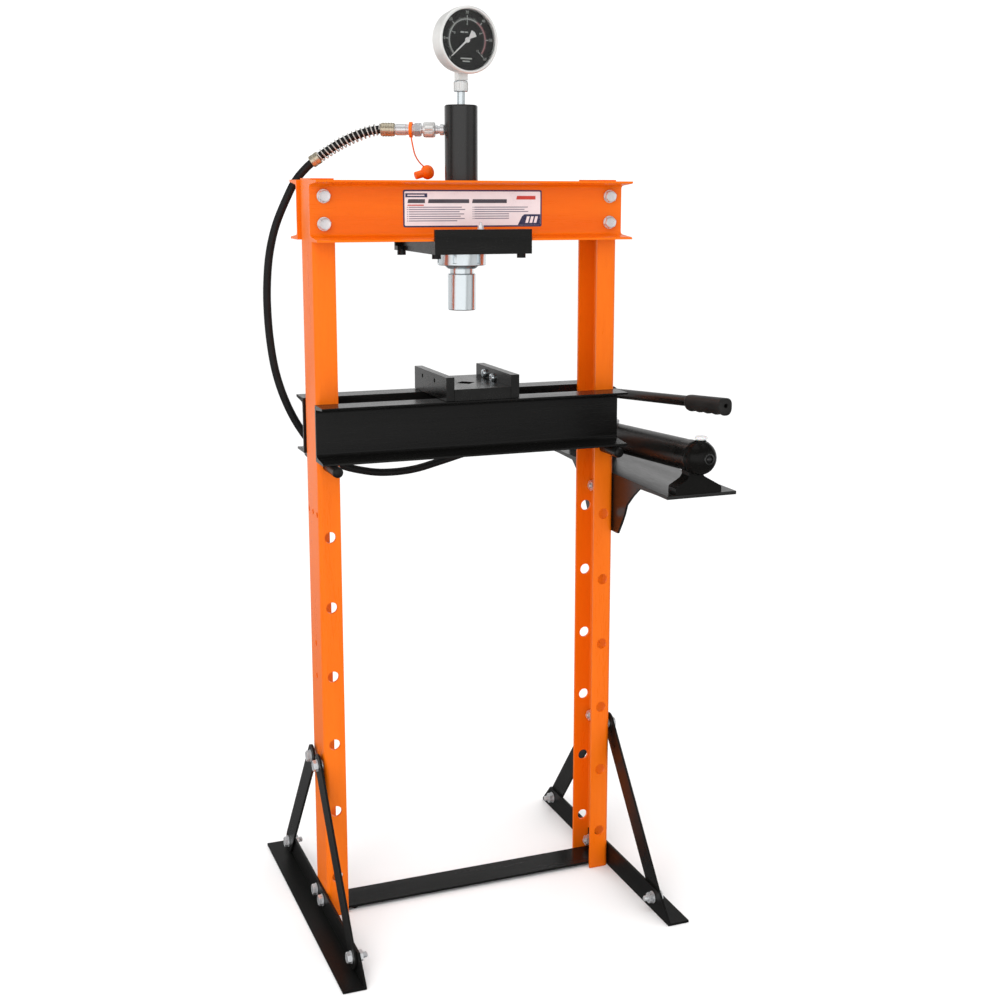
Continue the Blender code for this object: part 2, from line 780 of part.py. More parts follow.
for i in range(len(shape)):
    j = (i + 1) % len(shape)
    needle_bm.faces.new((under[i], under[j], over[j], over[i]))
needle = from_bmesh(needle_bm, "gauge_needle", "white_plastic", origin=gauge)
join(needle, [rod("needle_hub", gauge, facing, 3.6, 23.3, 25.9, None, 20)])

# Coupler, collar and hose end on the left of the barrel.
out = Vector((-math.cos(COUPLER_TURN), math.sin(COUPLER_TURN), 0))
port = Vector((AXIS_X, 0, COUPLER_Z))
turned(
    "coupler_body",
    [
        (0, 29.4), (6.3, 29.4), (6.3, 66.5), (10.4, 66.5), (10.4, 78.5), (8.6, 78.5), (8.6, 111.0), (0, 111.0),
    ],
    port, out, 20, "zinc",
)
turned(
    "coupler_collar",
    [(6.6, 43.5), (11.3, 43.5), (12.4, 44.6), (12.4, 62.4), (11.3, 63.5), (6.6, 63.5)],
    port, out, 20, "steel",
)
turned(
    "hose_ferrule",
    [
        (0, 111.3), (9.5, 111.3), (11.0, 113.0), (11.0, 134.0), (10.0, 135.5), (HOSE_R + GAP, 135.5),
        (HOSE_R + GAP, 118.0), (0, 118.0),
    ],
    port, out, 20, "yellow_zinc",
)
coupler_end = port + out * 118.3
guard_start = port + out * 136.2
HOSE_POINTS = [
    port + out * 118.3,
    port + out * 127.0,
    port + out * 136.0,
    port + out * 144.0 - Vector((0, 0, 0.3)),
    (-158.4, 68.0, 1347.6), (-189.8, 80.0, 1332.6), (-228.8, 98.0, 1304.5), (-258.0, 108.0, 1273.5),
    (-277.0, 112.0, 1238.0), (-294.0, 118.0, 1196.0), (-304.4, 122.0, 1153.8), (-309.5, 125.0, 1110.0),
    (-310.8, 127.5, 1060.0), (-307.6, 128.0, 1000.0), (-299.0, 127.0, 942.0), (-283.0, 125.0, 890.0),
    (-260.4, 123.0, 844.0), (-229.0, 122.0, 802.0), (-190.3, 122.0, 774.0), (-140.0, 122.5, 758.5),
    (-97.7, 124.0, 753.5), (-50.0, 125.5, 756.0), (-1.5, 127.0, 766.5), (60.0, 128.5, 781.0),
    (130.0, 129.5, 791.5), (190.0, 130.0, 796.0), (224.0, 130.0, 797.0), (238.0, 130.0, 797.0),
    (252.0, 130.0, 797.0),
]
hose_route = smooth_route(HOSE_POINTS, 20.0)
sweep("hose", hose_route, HOSE_R, 0.0, 10, "rubber")
guard_route = [guard_start, guard_start + out * 4.0] + [
    p for p in hose_route if (p - port).dot(out) > 146.0 and p.z > 1300.0 and p.x < -120.0
]
sweep("hose_spring_guard", guard_route, 9.8, HOSE_R + 1.0, 10, "steel")

# Dust cap: its ring sits on the coupler and its strap leads to the cap that lies on the head.
cap = turned(
    "dust_cap",
    [(8.9, 82.0), (12.9, 82.0), (12.9, 87.0), (8.9, 87.0)],
    port, out, 20, "orange_plastic",
)
ring_low = port + out * 84.5 - Vector((0, 0, 11.5))
strap_points = [
    ring_low,
    ring_low + Vector((3.0, 1.0, -14.0)),
    ring_low + Vector((9.0, 7.0, -30.0)),
    ring_low + Vector((19.0, 14.0, -42.0)),
    Vector((-47.5, 58.0, 1293.0)),
]
cap_low = [
    turned(
        "cap_cup",
        [
            (0, -10.5), (5.5, -10.2), (9.4, -7.8), (11.8, -3.6), (12.3, 1.0), (11.4, 5.0), (9.2, 8.0), (7.0, 9.4),
            (6.6, 11.0), (6.6, 22.0), (5.8, 23.0), (0, 23.0),
        ],
        (-43.0, 58.0, 1285.3), Vector((-1, 0, -0.28)).normalized(), 20, None,
    ),
    sweep("cap_strap", smooth_route(strap_points, 7.0), 1.3, 0.0, 6, None),
]
join(cap, cap_low)

# Pump shelf: a plate with a long lip that widens into the bracket on the web.
shelf_in = HALF + GAP
plate = box("pump_shelf", shelf_in, SHELF_OUT, -251.5, 253.0, SHELF_TOP - 6.0, SHELF_TOP, "black")
lip = [
    (-248.0, SHELF_TOP - 1.0), (-248.0, 750.6), (-145.0, 747.5), (-118.0, 728.0), (-95.0, 708.0), (-87.0, 690.0),
    (-76.0, 672.0), (-60.0, 649.0), (60.0, 649.0), (76.0, 672.0), (87.0, 690.0), (95.0, 708.0),
    (118.0, 728.0), (145.0, 747.5), (249.0, 750.6), (249.0, SHELF_TOP - 1.0),
]
join(plate, [prism("shelf_lip", lip, "X", shelf_in, shelf_in + SHELF_WALL, None)])
cut(
    plate,
    [
        drill("shelf_hole_%d" % k, (HALF, y, 721.0), (1, 0, 0), WEB_HOLE_R, -3, 10, 12)
        for k, y in enumerate((-28.0, 0.0, 28.0))
    ],
)

# Tank, and the end cap with its foot on the shelf.
tank_axis = (TANK_REAR - TANK_FRONT).normalized()
tank_length = (TANK_REAR - TANK_FRONT).length
rod("pump_tank", TANK_FRONT, tank_axis, TANK_R, 0.0, tank_length, "black", 32)
end_cap = turned(
    "pump_end_cap",
    [
        (0, -0.3), (26.8, -0.3), (27.0, -30.0), (28.0, -33.8), (29.8, -35.0), (30.2, -36.0), (30.2, -41.4), (28.9, -42.8),
        (28.6, -46.5), (27.4, -51.5), (24.4, -57.0), (19.0, -62.0), (11.5, -65.5), (0, -66.5),
    ],
    TANK_FRONT, tank_axis, 28, "black",
)
foot_z = SHELF_TOP + GAP
neck_outline = [
    (PUMP_X - 13.0, 800.0), (310.4, 793.0), (311.0, 787.5), (307.4, 781.5), (301.5, 777.6), (287.6, 769.6),
    (286.0, 767.4), (286.0, foot_z), (372.6, foot_z), (372.6, 765.4), (371.0, 767.6), (360.0, 773.9),
    (346.5, 781.6), (338.9, 785.9), (337.0, 790.5), (PUMP_X + 13.0, 800.0),
]
join(
    end_cap,
    [
        prism("cap_foot", neck_outline, "Y", -251.0, -224.0, None),
        rod("cap_boss", (PUMP_X, -268.0, 845.0), (0, 0, 1), 8.8, -8.0, 5.7, None, 24),
        rod("cap_rib", TANK_FRONT + Vector((0, 0, 18.4)), tank_axis, 9.4, -45.0, -13.0, None, 20),
    ],
)
turned(
    "vent_plug",
    [(0, 851.0), (6.9, 851.0), (7.3, 852.6), (10.5, 853.2), (10.8, 855.8), (9.6, 857.4), (0, 857.9)],
    (PUMP_X, -268.0, 0), (0, 0, 1), 18, "white_plastic", origin=(PUMP_X, -268.0, 851.0),
)

# Pump head: a block on the shelf with two lugs for the handle and a port for the hose.
HEAD_Y0, HEAD_Y1 = 114.0, 212.0
head = box("pump_head", PUMP_X - 28.0, PUMP_X + 28.0, HEAD_Y0, HEAD_Y1, SHELF_TOP + GAP, 830.0, "black")
lug = [(170.0, 826.0), (204.0, 826.0), (204.0, 880.6), (198.0, 887.6), (176.0, 887.6), (170.0, 880.6)]
lugs = [
    prism("pump_lug_%d" % k, lug, "X", x0, x1, None)
    for k, (x0, x1) in enumerate(((PUMP_X - 20.0, PUMP_X - 11.0), (PUMP_X + 11.0, PUMP_X + 20.0)))
]
sleeve = rod("plunger_sleeve", (PUMP_X, 152.0, 0), (0, 0, 1), 15.0, 825.0, 838.0, None, 28)
join(head, lugs + [sleeve])
cut(
    head,
    [
        drill("plunger_bore", (PUMP_X, 152.0, 0), (0, 0, 1), 8.3, 792.0, 850.0, 24),
        drill("pivot_bore", HANDLE_PIVOT, (1, 0, 0), 5.3, -25, 25, 20),
        drill("release_bore", (PUMP_X, 162.0, 784.0), (1, 0, 0), 5.3, 12, 40, 20),
    ],
)
turned(
    "pump_plunger",
    [(0, 796.0), (8.0, 796.0), (8.0, 859.6), (6.0, 862.8), (0, 863.6)],
    (PUMP_X, 152.0, 0), (0, 0, 1), 24, "chrome", origin=(PUMP_X, 152.0, 863.6),
)
turned(
    "release_knob",
    [
        (0, 16.0), (5.0, 16.0), (5.0, 34.0), (10.5, 34.0), (12.0, 35.5), (12.0, 48.5), (10.5, 50.0), (0, 50.0),
    ],
    (PUMP_X, 162.0, 784.0), (1, 0, 0), 18, "steel", origin=(PUMP_X + 28.0, 162.0, 784.0),
)
turned(
    "pump_hose_fitting",
    [
        (0, 28.3), (8.5, 28.3), (8.5, 44.0), (7.0, 45.0), (7.0, 52.0), (11.0, 53.0), (11.0, 84.0),
        (10.0, 85.5), (HOSE_R + GAP, 85.5), (HOSE_R + GAP, 69.7), (0, 69.7),
    ],
    (PUMP_X, 130.0, 797.0), (-1, 0, 0), 18, "yellow_zinc",
)

# Handle: lever with its pivot pin, tube and grip, tilted up to the front.
aim = Vector((0, -math.cos(HANDLE_SLOPE), math.sin(HANDLE_SLOPE)))
up = Vector((0, math.sin(HANDLE_SLOPE), math.cos(HANDLE_SLOPE)))


def along_handle(a, b):
    """(y, z) of a point a along the handle and b above its axis."""
    p = HANDLE_PIVOT + aim * a + up * b
    return (p.y, p.z)


lever_outline = [
    along_handle(a, b)
    for a, b in (
        (-10.0, -6.0), (-6.0, -10.0), (52.0, -12.0), (60.0, -9.0), (60.0, 9.0), (52.0, 12.0), (-6.0, 10.0), (-10.0, 6.0),
    )
]
lever = prism("handle_lever", lever_outline, "X", PUMP_X - 10.5, PUMP_X + 10.5, "black", origin=HANDLE_PIVOT)
join(
    lever,
    [
        rod("lever_socket", HANDLE_PIVOT, aim, 12.5, 45.0, 108.0, None, 24),
        rod("lever_pin", HANDLE_PIVOT, (1, 0, 0), 5.0, -23.0, 23.0, None, 20),
    ],
)
cut(lever, [rod("lever_bore", HANDLE_PIVOT, aim, 9.3, 64.0, 115.0, None, 24)])
rod("handle_tube", HANDLE_PIVOT, aim, 9.0, 66.0, 516.2, "black", 24, origin=HANDLE_PIVOT)
GRIP_START, GRIP_END = 412.2, 536.7
lobes = []
steps = 20
for i in range(steps + 1):
    t = i / steps
    a = GRIP_START + 6.0 + (GRIP_END - GRIP_START - 10.0) * t
    wave = 1.2 * math.cos(2 * math.pi * 4.5 * t)
    lobes.append(along_handle(a, -15.2 - wave - 0.8 * t))
grip_outline = [along_handle(GRIP_START, -9.8), along_handle(GRIP_START + 2.0, -13.5)]
grip_outline += lobes
grip_outline += [
    along_handle(GRIP_END, -14.0), along_handle(GRIP_END, 8.0), along_handle(GRIP_END - 5.0, 11.6),
    along_handle(GRIP_START + 5.0, 11.2), along_handle(GRIP_START, 9.8),
]
grip = prism("handle_grip", grip_outline, "X", PUMP_X - 12.2, PUMP_X + 12.2, "rubber", origin=HANDLE_PIVOT)
soft = grip.modifiers.new("round", "BEVEL")
soft.width = 6.0 * MM
soft.segments = 2
soft.limit_method = "ANGLE"
soft.angle_limit = math.radians(60)
cut(grip, [rod("grip_bore", HANDLE_PIVOT, aim, 9.3, GRIP_START - 10.0, GRIP_END - 19.0, None, 24)])
cut(grip, [rod("grip_end_hole", HANDLE_PIVOT, aim, 3.0, GRIP_END - 30.0, GRIP_END + 10.0, None, 16)])
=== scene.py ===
"""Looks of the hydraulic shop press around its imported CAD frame. Lengths in the tables are millimetres in the press's own axes."""

import math

import bmesh
import bpy
from mathutils import Matrix, Vector


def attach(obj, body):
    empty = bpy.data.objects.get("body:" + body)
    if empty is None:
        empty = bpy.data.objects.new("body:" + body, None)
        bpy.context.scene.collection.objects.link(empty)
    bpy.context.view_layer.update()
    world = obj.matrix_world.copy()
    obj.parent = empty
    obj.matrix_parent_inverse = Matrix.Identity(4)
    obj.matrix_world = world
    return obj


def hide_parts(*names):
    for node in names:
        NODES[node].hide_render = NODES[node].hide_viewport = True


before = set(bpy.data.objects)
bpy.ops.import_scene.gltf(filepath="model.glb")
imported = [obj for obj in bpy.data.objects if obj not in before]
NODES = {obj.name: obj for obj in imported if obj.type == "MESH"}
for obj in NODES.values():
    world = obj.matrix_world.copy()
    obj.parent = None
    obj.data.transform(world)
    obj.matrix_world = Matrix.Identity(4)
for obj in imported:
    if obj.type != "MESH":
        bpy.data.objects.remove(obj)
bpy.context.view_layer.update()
scene = bpy.context.scene

MM = 0.001
SHIFT = Vector((-46.15, 34.456, 0.0))


def at(x, y, z):
    """A point of the press in metres of the shared frame."""
    return (Vector((x, y, z)) + SHIFT) * MM


# ---------------------------------------------------------------- camera
yaw, pitch, roll = math.radians(22.362), math.radians(-10.638), 0.005
ahead = Vector((math.sin(yaw) * math.cos(pitch), math.cos(yaw) * math.cos(pitch), math.sin(pitch)))
level = Vector((math.cos(yaw), -math.sin(yaw), 0))
top = level.cross(ahead)
right = level * math.cos(roll) + top * math.sin(roll)
above = top * math.cos(roll) - level * math.sin(roll)
lens = bpy.data.cameras.new("camera")
lens.sensor_fit = "HORIZONTAL"
lens.sensor_width = 36.0
lens.lens = 1455.09 * 36.0 / 1000.0
lens.shift_x = 0.5 - 0.53809
lens.shift_y = 0.45592 - 0.5
lens.clip_start = 0.05
lens.clip_end = 100.0
camera = bpy.data.objects.new("camera", lens)
scene.collection.objects.link(camera)
turn = Matrix((right, above, -ahead)).transposed().to_4x4()
camera.matrix_world = Matrix.Translation(at(-831.05, -2361.36, 1268.75)) @ turn
scene.camera = camera

# ---------------------------------------------------------------- materials


class Nodes:
    """A short way to write a shader: each call makes a node and sets its inputs."""

    def __init__(self, name):
        self.material = bpy.data.materials.new(name)
        self.material.use_nodes = True
        self.tree = self.material.node_tree
        self.shader = self.tree.nodes["Principled BSDF"]
        self.coord = self.tree.nodes.new("ShaderNodeTexCoord").outputs["Object"]

    def make(self, kind, settings=None, **inputs):
        node = self.tree.nodes.new(kind)
        for key, value in (settings or {}).items():
            setattr(node, key, value)
        for key, value in inputs.items():
            self.put(node, key.replace("_", " "), value)
        return node

    def put(self, node, name, value):
        socket = node.inputs[name]
        if isinstance(value, bpy.types.NodeSocket):
            self.tree.links.new(value, socket)
        else:
            socket.default_value = value

    def noise(self, scale, detail=3.0, rough=0.55, stretch=None, seed=0.0):
        vector = self.coord
        mapping = self.make("ShaderNodeMapping", Vector=vector)
        mapping.inputs["Location"].default_value = (seed * 1.37, seed * 0.71, seed * 2.13)
        mapping.inputs["Scale"].default_value = stretch or (1, 1, 1)
        vector = mapping.outputs[0]
        node = self.make("ShaderNodeTexNoise", Vector=vector, Scale=scale, Detail=detail, Roughness=rough)
        return node.outputs[0]

    def ramp(self, value, low, high, a, b):
        node = self.make("ShaderNodeMapRange", Value=value)
        node.inputs["From Min"].default_value = low
        node.inputs["From Max"].default_value = high
        node.inputs["To Min"].default_value = a
        node.inputs["To Max"].default_value = b
        return node.outputs[0]

    def mix(self, factor, a, b):
        node = self.tree.nodes.new("ShaderNodeMix")
        node.data_type = "RGBA"
        for index, value in ((0, factor), (6, a), (7, b)):
            if isinstance(value, bpy.types.NodeSocket):
                self.tree.links.new(value, node.inputs[index])
            elif index:
                node.inputs[index].default_value = (*value, 1.0)
            else:
                node.inputs[index].default_value = value
        return node.outputs[2]

    def add(self, a, b, how="ADD"):
        node = self.tree.nodes.new("ShaderNodeMath")
        node.operation = how
        for index, value in ((0, a), (1, b)):
            if isinstance(value, bpy.types.NodeSocket):
                self.tree.links.new(value, node.inputs[index])
            else:
                node.inputs[index].default_value = value
        return node.outputs[0]

    def bump(self, height, depth, strength=1.0, under=None):
        node = self.make("ShaderNodeBump", Height=height)
        node.inputs["Distance"].default_value = depth
        node.inputs["Strength"].default_value = strength
        if under is not None:
            self.tree.links.new(under, node.inputs["Normal"])
        return node.outputs[0]

    def finish(self, **inputs):
        for key, value in inputs.items():
            if key == "Base_Color" and isinstance(value, tuple):
                value = (*value, 1.0)
            self.put(self.shader, key.replace("_", " "), value)
        return self.material


def paint(name, deep, pale, rough, coat, coat_rough, peel, stretch=(1, 1, 1), seed=0.0, speck=0.0, level=0.5):
    """Sprayed gloss paint: mottled film, orange peel, a rolled grain that shows through, and fine dust."""
    n = Nodes(name)
    film = n.ramp(n.noise(9.0, 4.0, 0.6, stretch, seed), 0.32, 0.68, 0.0, 1.0)
    fine = n.ramp(n.noise(140.0, 5.0, 0.65, stretch, seed + 1), 0.35, 0.7, 0.0, 1.0)
    colour = n.mix(n.add(n.add(film, 0.75, "MULTIPLY"), n.add(fine, 0.25, "MULTIPLY")), deep, pale)
    dust = n.ramp(n.noise(520.0, 2.0, 0.5, None, seed + 2), 0.66, 0.74, 0.0, speck)
    colour = n.mix(dust, colour, (0.75, 0.72, 0.68))
    roughness = n.add(n.ramp(film, 0, 1, rough - 0.04, rough + 0.04), n.ramp(fine, 0, 1, -0.02, 0.05))
    grain = n.bump(n.noise(38.0, 4.0, 0.6, stretch, seed + 3), 0.00045, 0.35)
    skin = n.bump(n.noise(560.0, 2.0, 0.5, None, seed + 4), 0.00022 * peel, 0.8, grain)
    return n.finish(
        Base_Color=colour, Roughness=roughness, Normal=skin, Coat_Weight=coat, Coat_Roughness=coat_rough, IOR=1.5,
        Specular_IOR_Level=level,
    )


def metal(name, dark, light, rough, spread, lines=None, line_depth=0.00003, pits=0.3, seed=0.0, scale=60.0, metallic=1.0):
    """Plated or bare metal: uneven plating, tool lines and small pits."""
    n = Nodes(name)
    cloud = n.ramp(n.noise(scale, 4.0, 0.62, None, seed), 0.3, 0.7, 0.0, 1.0)
    fine = n.ramp(n.noise(scale * 11, 3.0, 0.55, lines, seed + 1), 0.3, 0.72, 0.0, 1.0)
    colour = n.mix(n.add(n.add(cloud, 0.6, "MULTIPLY"), n.add(fine, 0.4, "MULTIPLY")), dark, light)
    roughness = n.add(n.ramp(cloud, 0, 1, rough, rough + spread), n.ramp(fine, 0, 1, 0.0, spread * 0.8))
    normal = n.bump(n.noise(scale * 16, 3.0, 0.6, lines, seed + 2), line_depth, 0.7)
    normal = n.bump(n.noise(scale * 5, 2.0, 0.5, None, seed + 3), 0.00012 * pits, 0.5, normal)
    return n.finish(Base_Color=colour, Roughness=roughness, Normal=normal, Metallic=metallic)


def plastic(name, deep, pale, rough, grain, depth, seed=0.0, coat=0.0, subsurface=0.0, level=0.5):
    n = Nodes(name)
    cloud = n.ramp(n.noise(30.0, 3.0, 0.6, None, seed), 0.3, 0.7, 0.0, 1.0)
    fine = n.noise(grain, 3.0, 0.6, None, seed + 1)
    colour = n.mix(cloud, deep, pale)
    roughness = n.add(n.ramp(cloud, 0, 1, rough - 0.04, rough + 0.04), n.ramp(fine, 0.3, 0.7, -0.03, 0.05))
    normal = n.bump(fine, depth, 0.7)
    n.shader.inputs["Subsurface Weight"].default_value = subsurface
    n.shader.inputs["Subsurface Radius"].default_value = (0.004, 0.001, 0.0005)
    return n.finish(Base_Color=colour, Roughness=roughness, Normal=normal, Coat_Weight=coat, Specular_IOR_Level=level)


ORANGE_DEEP, ORANGE_PALE = (0.78, 0.132, 0.0022), (0.85, 0.165, 0.0040)
orange_x = paint("orange_paint_beams", ORANGE_DEEP, ORANGE_PALE, 0.30, 0.04, 0.12, 1.0, (0.35, 3.0, 5.0), 1.0, 0.0, 0.17)
orange_z = paint("orange_paint_uprights", ORANGE_DEEP, ORANGE_PALE, 0.30, 0.04, 0.12, 1.0, (3.0, 3.0, 0.35), 5.0, 0.0, 0.17)
BLACK_DEEP, BLACK_PALE = (0.0045, 0.0044, 0.0042), (0.0085, 0.0083, 0.0079)
black_x = paint("black_paint_beams", BLACK_DEEP, BLACK_PALE, 0.23, 0.03, 0.10, 0.8, (0.35, 3.0, 5.0), 9.0, 0.015, 0.19)
black_y = paint("black_paint_feet", BLACK_DEEP, BLACK_PALE, 0.38, 0.0, 0.2, 1.0, (3.0, 0.35, 5.0), 13.0, 0.03, 0.12)
black_shelf = paint("black_paint_shelf", BLACK_DEEP, BLACK_PALE, 0.33, 0.12, 0.12, 0.5, (3.0, 0.35, 3.0), 15.0, 0.02, 0.48)
black_z = paint("black_paint_parts", BLACK_DEEP, BLACK_PALE, 0.30, 0.0, 0.12, 1.0, (1, 1, 1), 17.0, 0.02, 0.24)
black_cast = paint("black_paint_castings", BLACK_DEEP, BLACK_PALE, 0.34, 0.04, 0.16, 2.2, (1, 1, 1), 21.0, 0.02, 0.16)
black_tube = paint("black_paint_tube", (0.0042, 0.0040, 0.0036), (0.0075, 0.0072, 0.0066), 0.28, 0.04, 0.14, 0.6, (3.0, 0.35, 3.0), 25.0, 0.015, 0.15)
black_cap = paint("black_paint_cap", (0.0036, 0.0034, 0.0031), (0.0066, 0.0063, 0.0058), 0.20, 0.04, 0.10, 1.4, (1, 1, 1), 23.0, 0.01, 0.11)
black_barrel = paint("black_paint_barrel", BLACK_DEEP, BLACK_PALE, 0.22, 0.10, 0.10, 0.8, (1, 1, 1), 27.0, 0.02, 0.60)
dark_steel = paint("dark_satin_plates", (0.0055, 0.0055, 0.0053), (0.0115, 0.0115, 0.0110), 0.24, 0.05, 0.14, 0.7, (3.0, 0.4, 3.0), 29.0, 0.02, 0.19)
zinc = metal("bright_zinc", (0.70, 0.71, 0.73), (0.88, 0.89, 0.90), 0.24, 0.10, None, 0.00004, 0.6, 33.0, 90.0, 0.72)
yellow_zinc = metal("yellow_zinc", (0.60, 0.52, 0.37), (0.78, 0.72, 0.58), 0.26, 0.10, None, 0.00004, 0.6, 37.0, 110.0, 0.85)
stainless = metal("stainless_steel", (0.72, 0.72, 0.71), (0.88, 0.88, 0.86), 0.24, 0.08, (6.0, 6.0, 0.5), 0.00003, 0.2, 41.0, 50.0, 0.70)
bezel_steel = metal("bezel_steel", (0.80, 0.80, 0.78), (0.91, 0.91, 0.89), 0.32, 0.08, (1.0, 1.0, 1.0), 0.00002, 0.2, 43.0, 50.0, 0.55)
chrome = metal("hard_chrome", (0.74, 0.80, 0.83), (0.83, 0.89, 0.92), 0.17, 0.04, (1.0, 1.0, 9.0), 0.000015, 0.1, 45.0, 40.0, 0.92)
spring_steel = metal("spring_wire", (0.50, 0.47, 0.43), (0.88, 0.87, 0.84), 0.26, 0.10, None, 0.00003, 0.4, 47.0, 120.0, 0.6)
dial_black = plastic("dial_print_black", (0.006, 0.006, 0.0055), (0.012, 0.0115, 0.0105), 0.55, 1800.0, 0.00002, 49.0, 0.0, 0.0, 0.3)
print_white = plastic("dial_print_white", (0.42, 0.43, 0.41), (0.52, 0.53, 0.50), 0.55, 1800.0, 0.00002, 51.0)
print_red = plastic("dial_print_red", (0.34, 0.15, 0.16), (0.42, 0.19, 0.20), 0.55, 1800.0, 0.00002, 53.0)
needle_white = plastic("needle_white", (0.70, 0.68, 0.67), (0.80, 0.78, 0.77), 0.42, 1400.0, 0.00002, 55.0)
plug_white = plastic("filler_plug_white", (0.72, 0.73, 0.73), (0.84, 0.85, 0.85), 0.30, 900.0, 0.00004, 57.0, 0.3, 0.2)
orange_soft = plastic("dust_cap_orange", (0.90, 0.125, 0.0015), (0.96, 0.165, 0.0035), 0.42, 900.0, 0.00005, 59.0, 0.0, 0.15, 0.3)
rubber = plastic("hose_rubber", (0.0065, 0.0065, 0.0066), (0.013, 0.013, 0.0135), 0.46, 650.0, 0.00018, 61.0, 0.0, 0.0, 0.24)
grip_rubber = plastic("grip_rubber", (0.008, 0.0076, 0.0072), (0.017, 0.0162, 0.0152), 0.50, 900.0, 0.00022, 63.0, 0.0, 0.0, 0.26)
label_field = plastic("label_field", (0.80, 0.74, 0.77), (0.86, 0.81, 0.83), 0.30, 500.0, 0.00003, 65.0, 0.1)
label_navy = plastic("label_navy", (0.020, 0.020, 0.075), (0.028, 0.028, 0.095), 0.30, 500.0, 0.00003, 67.0, 0.1)
label_ink = plastic("label_ink", (0.16, 0.15, 0.20), (0.22, 0.21, 0.27), 0.34, 500.0, 0.00003, 69.0, 0.1)
label_red = plastic("label_red", (0.50, 0.03, 0.02), (0.58, 0.05, 0.03), 0.32, 500.0, 0.00003, 71.0, 0.1)
label_dark = plastic("label_dark_ink", (0.045, 0.040, 0.055), (0.07, 0.065, 0.085), 0.34, 500.0, 0.00003, 73.0, 0.1)

glass = bpy.data.materials.new("gauge_glass_clear")
glass.use_nodes = True
shader = glass.node_tree.nodes["Principled BSDF"]
shader.inputs["Base Color"].default_value = (0.97, 0.98, 0.98, 1)
shader.inputs["Transmission Weight"].default_value = 1.0
shader.inputs["Roughness"].default_value = 0.02
shader.inputs["IOR"].default_value = 1.25

# ---------------------------------------------------------------- mesh tools


def smoothing(angle):
    """Merges split corners, then shades smooth except across edges sharper than the angle."""
    group = bpy.data.node_groups.new("smooth_%d" % angle, "GeometryNodeTree")
    group.interface.new_socket("Geometry", in_out="INPUT", socket_type="NodeSocketGeometry")
    group.interface.new_socket("Geometry", in_out="OUTPUT", socket_type="NodeSocketGeometry")
    make, link = group.nodes.new, group.links.new
    source, sink = make("NodeGroupInput"), make("NodeGroupOutput")
    merge = make("GeometryNodeMergeByDistance")
    merge.inputs["Distance"].default_value = 2e-6
    faces = make("GeometryNodeSetShadeSmooth")
    edges = make("GeometryNodeSetShadeSmooth")
    edges.domain = "EDGE"
    edges.inputs["Shade Smooth"].default_value = False
    bend = make("GeometryNodeInputMeshEdgeAngle")
    sharp = make("FunctionNodeCompare")
    sharp.data_type = "FLOAT"
    sharp.operation = "GREATER_THAN"
    sharp.inputs[1].default_value = math.radians(angle)
    link(source.outputs[0], merge.inputs[0])
    link(merge.outputs[0], faces.inputs[0])
    link(faces.outputs[0], edges.inputs[0])
    link(bend.outputs[0], sharp.inputs[0])
    link(sharp.outputs[0], edges.inputs["Selection"])
    link(edges.outputs[0], sink.inputs[0])
    return group


SMOOTH = smoothing(32)


def soften(obj, width=0.0, segments=2, angle=35.0):
    if width:
        weld = obj.modifiers.new("weld", "WELD")
        weld.merge_threshold = 2e-6
        bevel = obj.modifiers.new("bevel", "BEVEL")
        bevel.width = width * MM
        bevel.segments = segments
        bevel.limit_method = "ANGLE"
        bevel.angle_limit = math.radians(angle)
        bevel.use_clamp_overlap = True
    shade = obj.modifiers.new("smooth", "NODES")
    shade.node_group = SMOOTH
    if width:
        flatten = obj.modifiers.new("normals", "WEIGHTED_NORMAL")
        flatten.keep_sharp = True
        flatten.weight = 90
    return obj


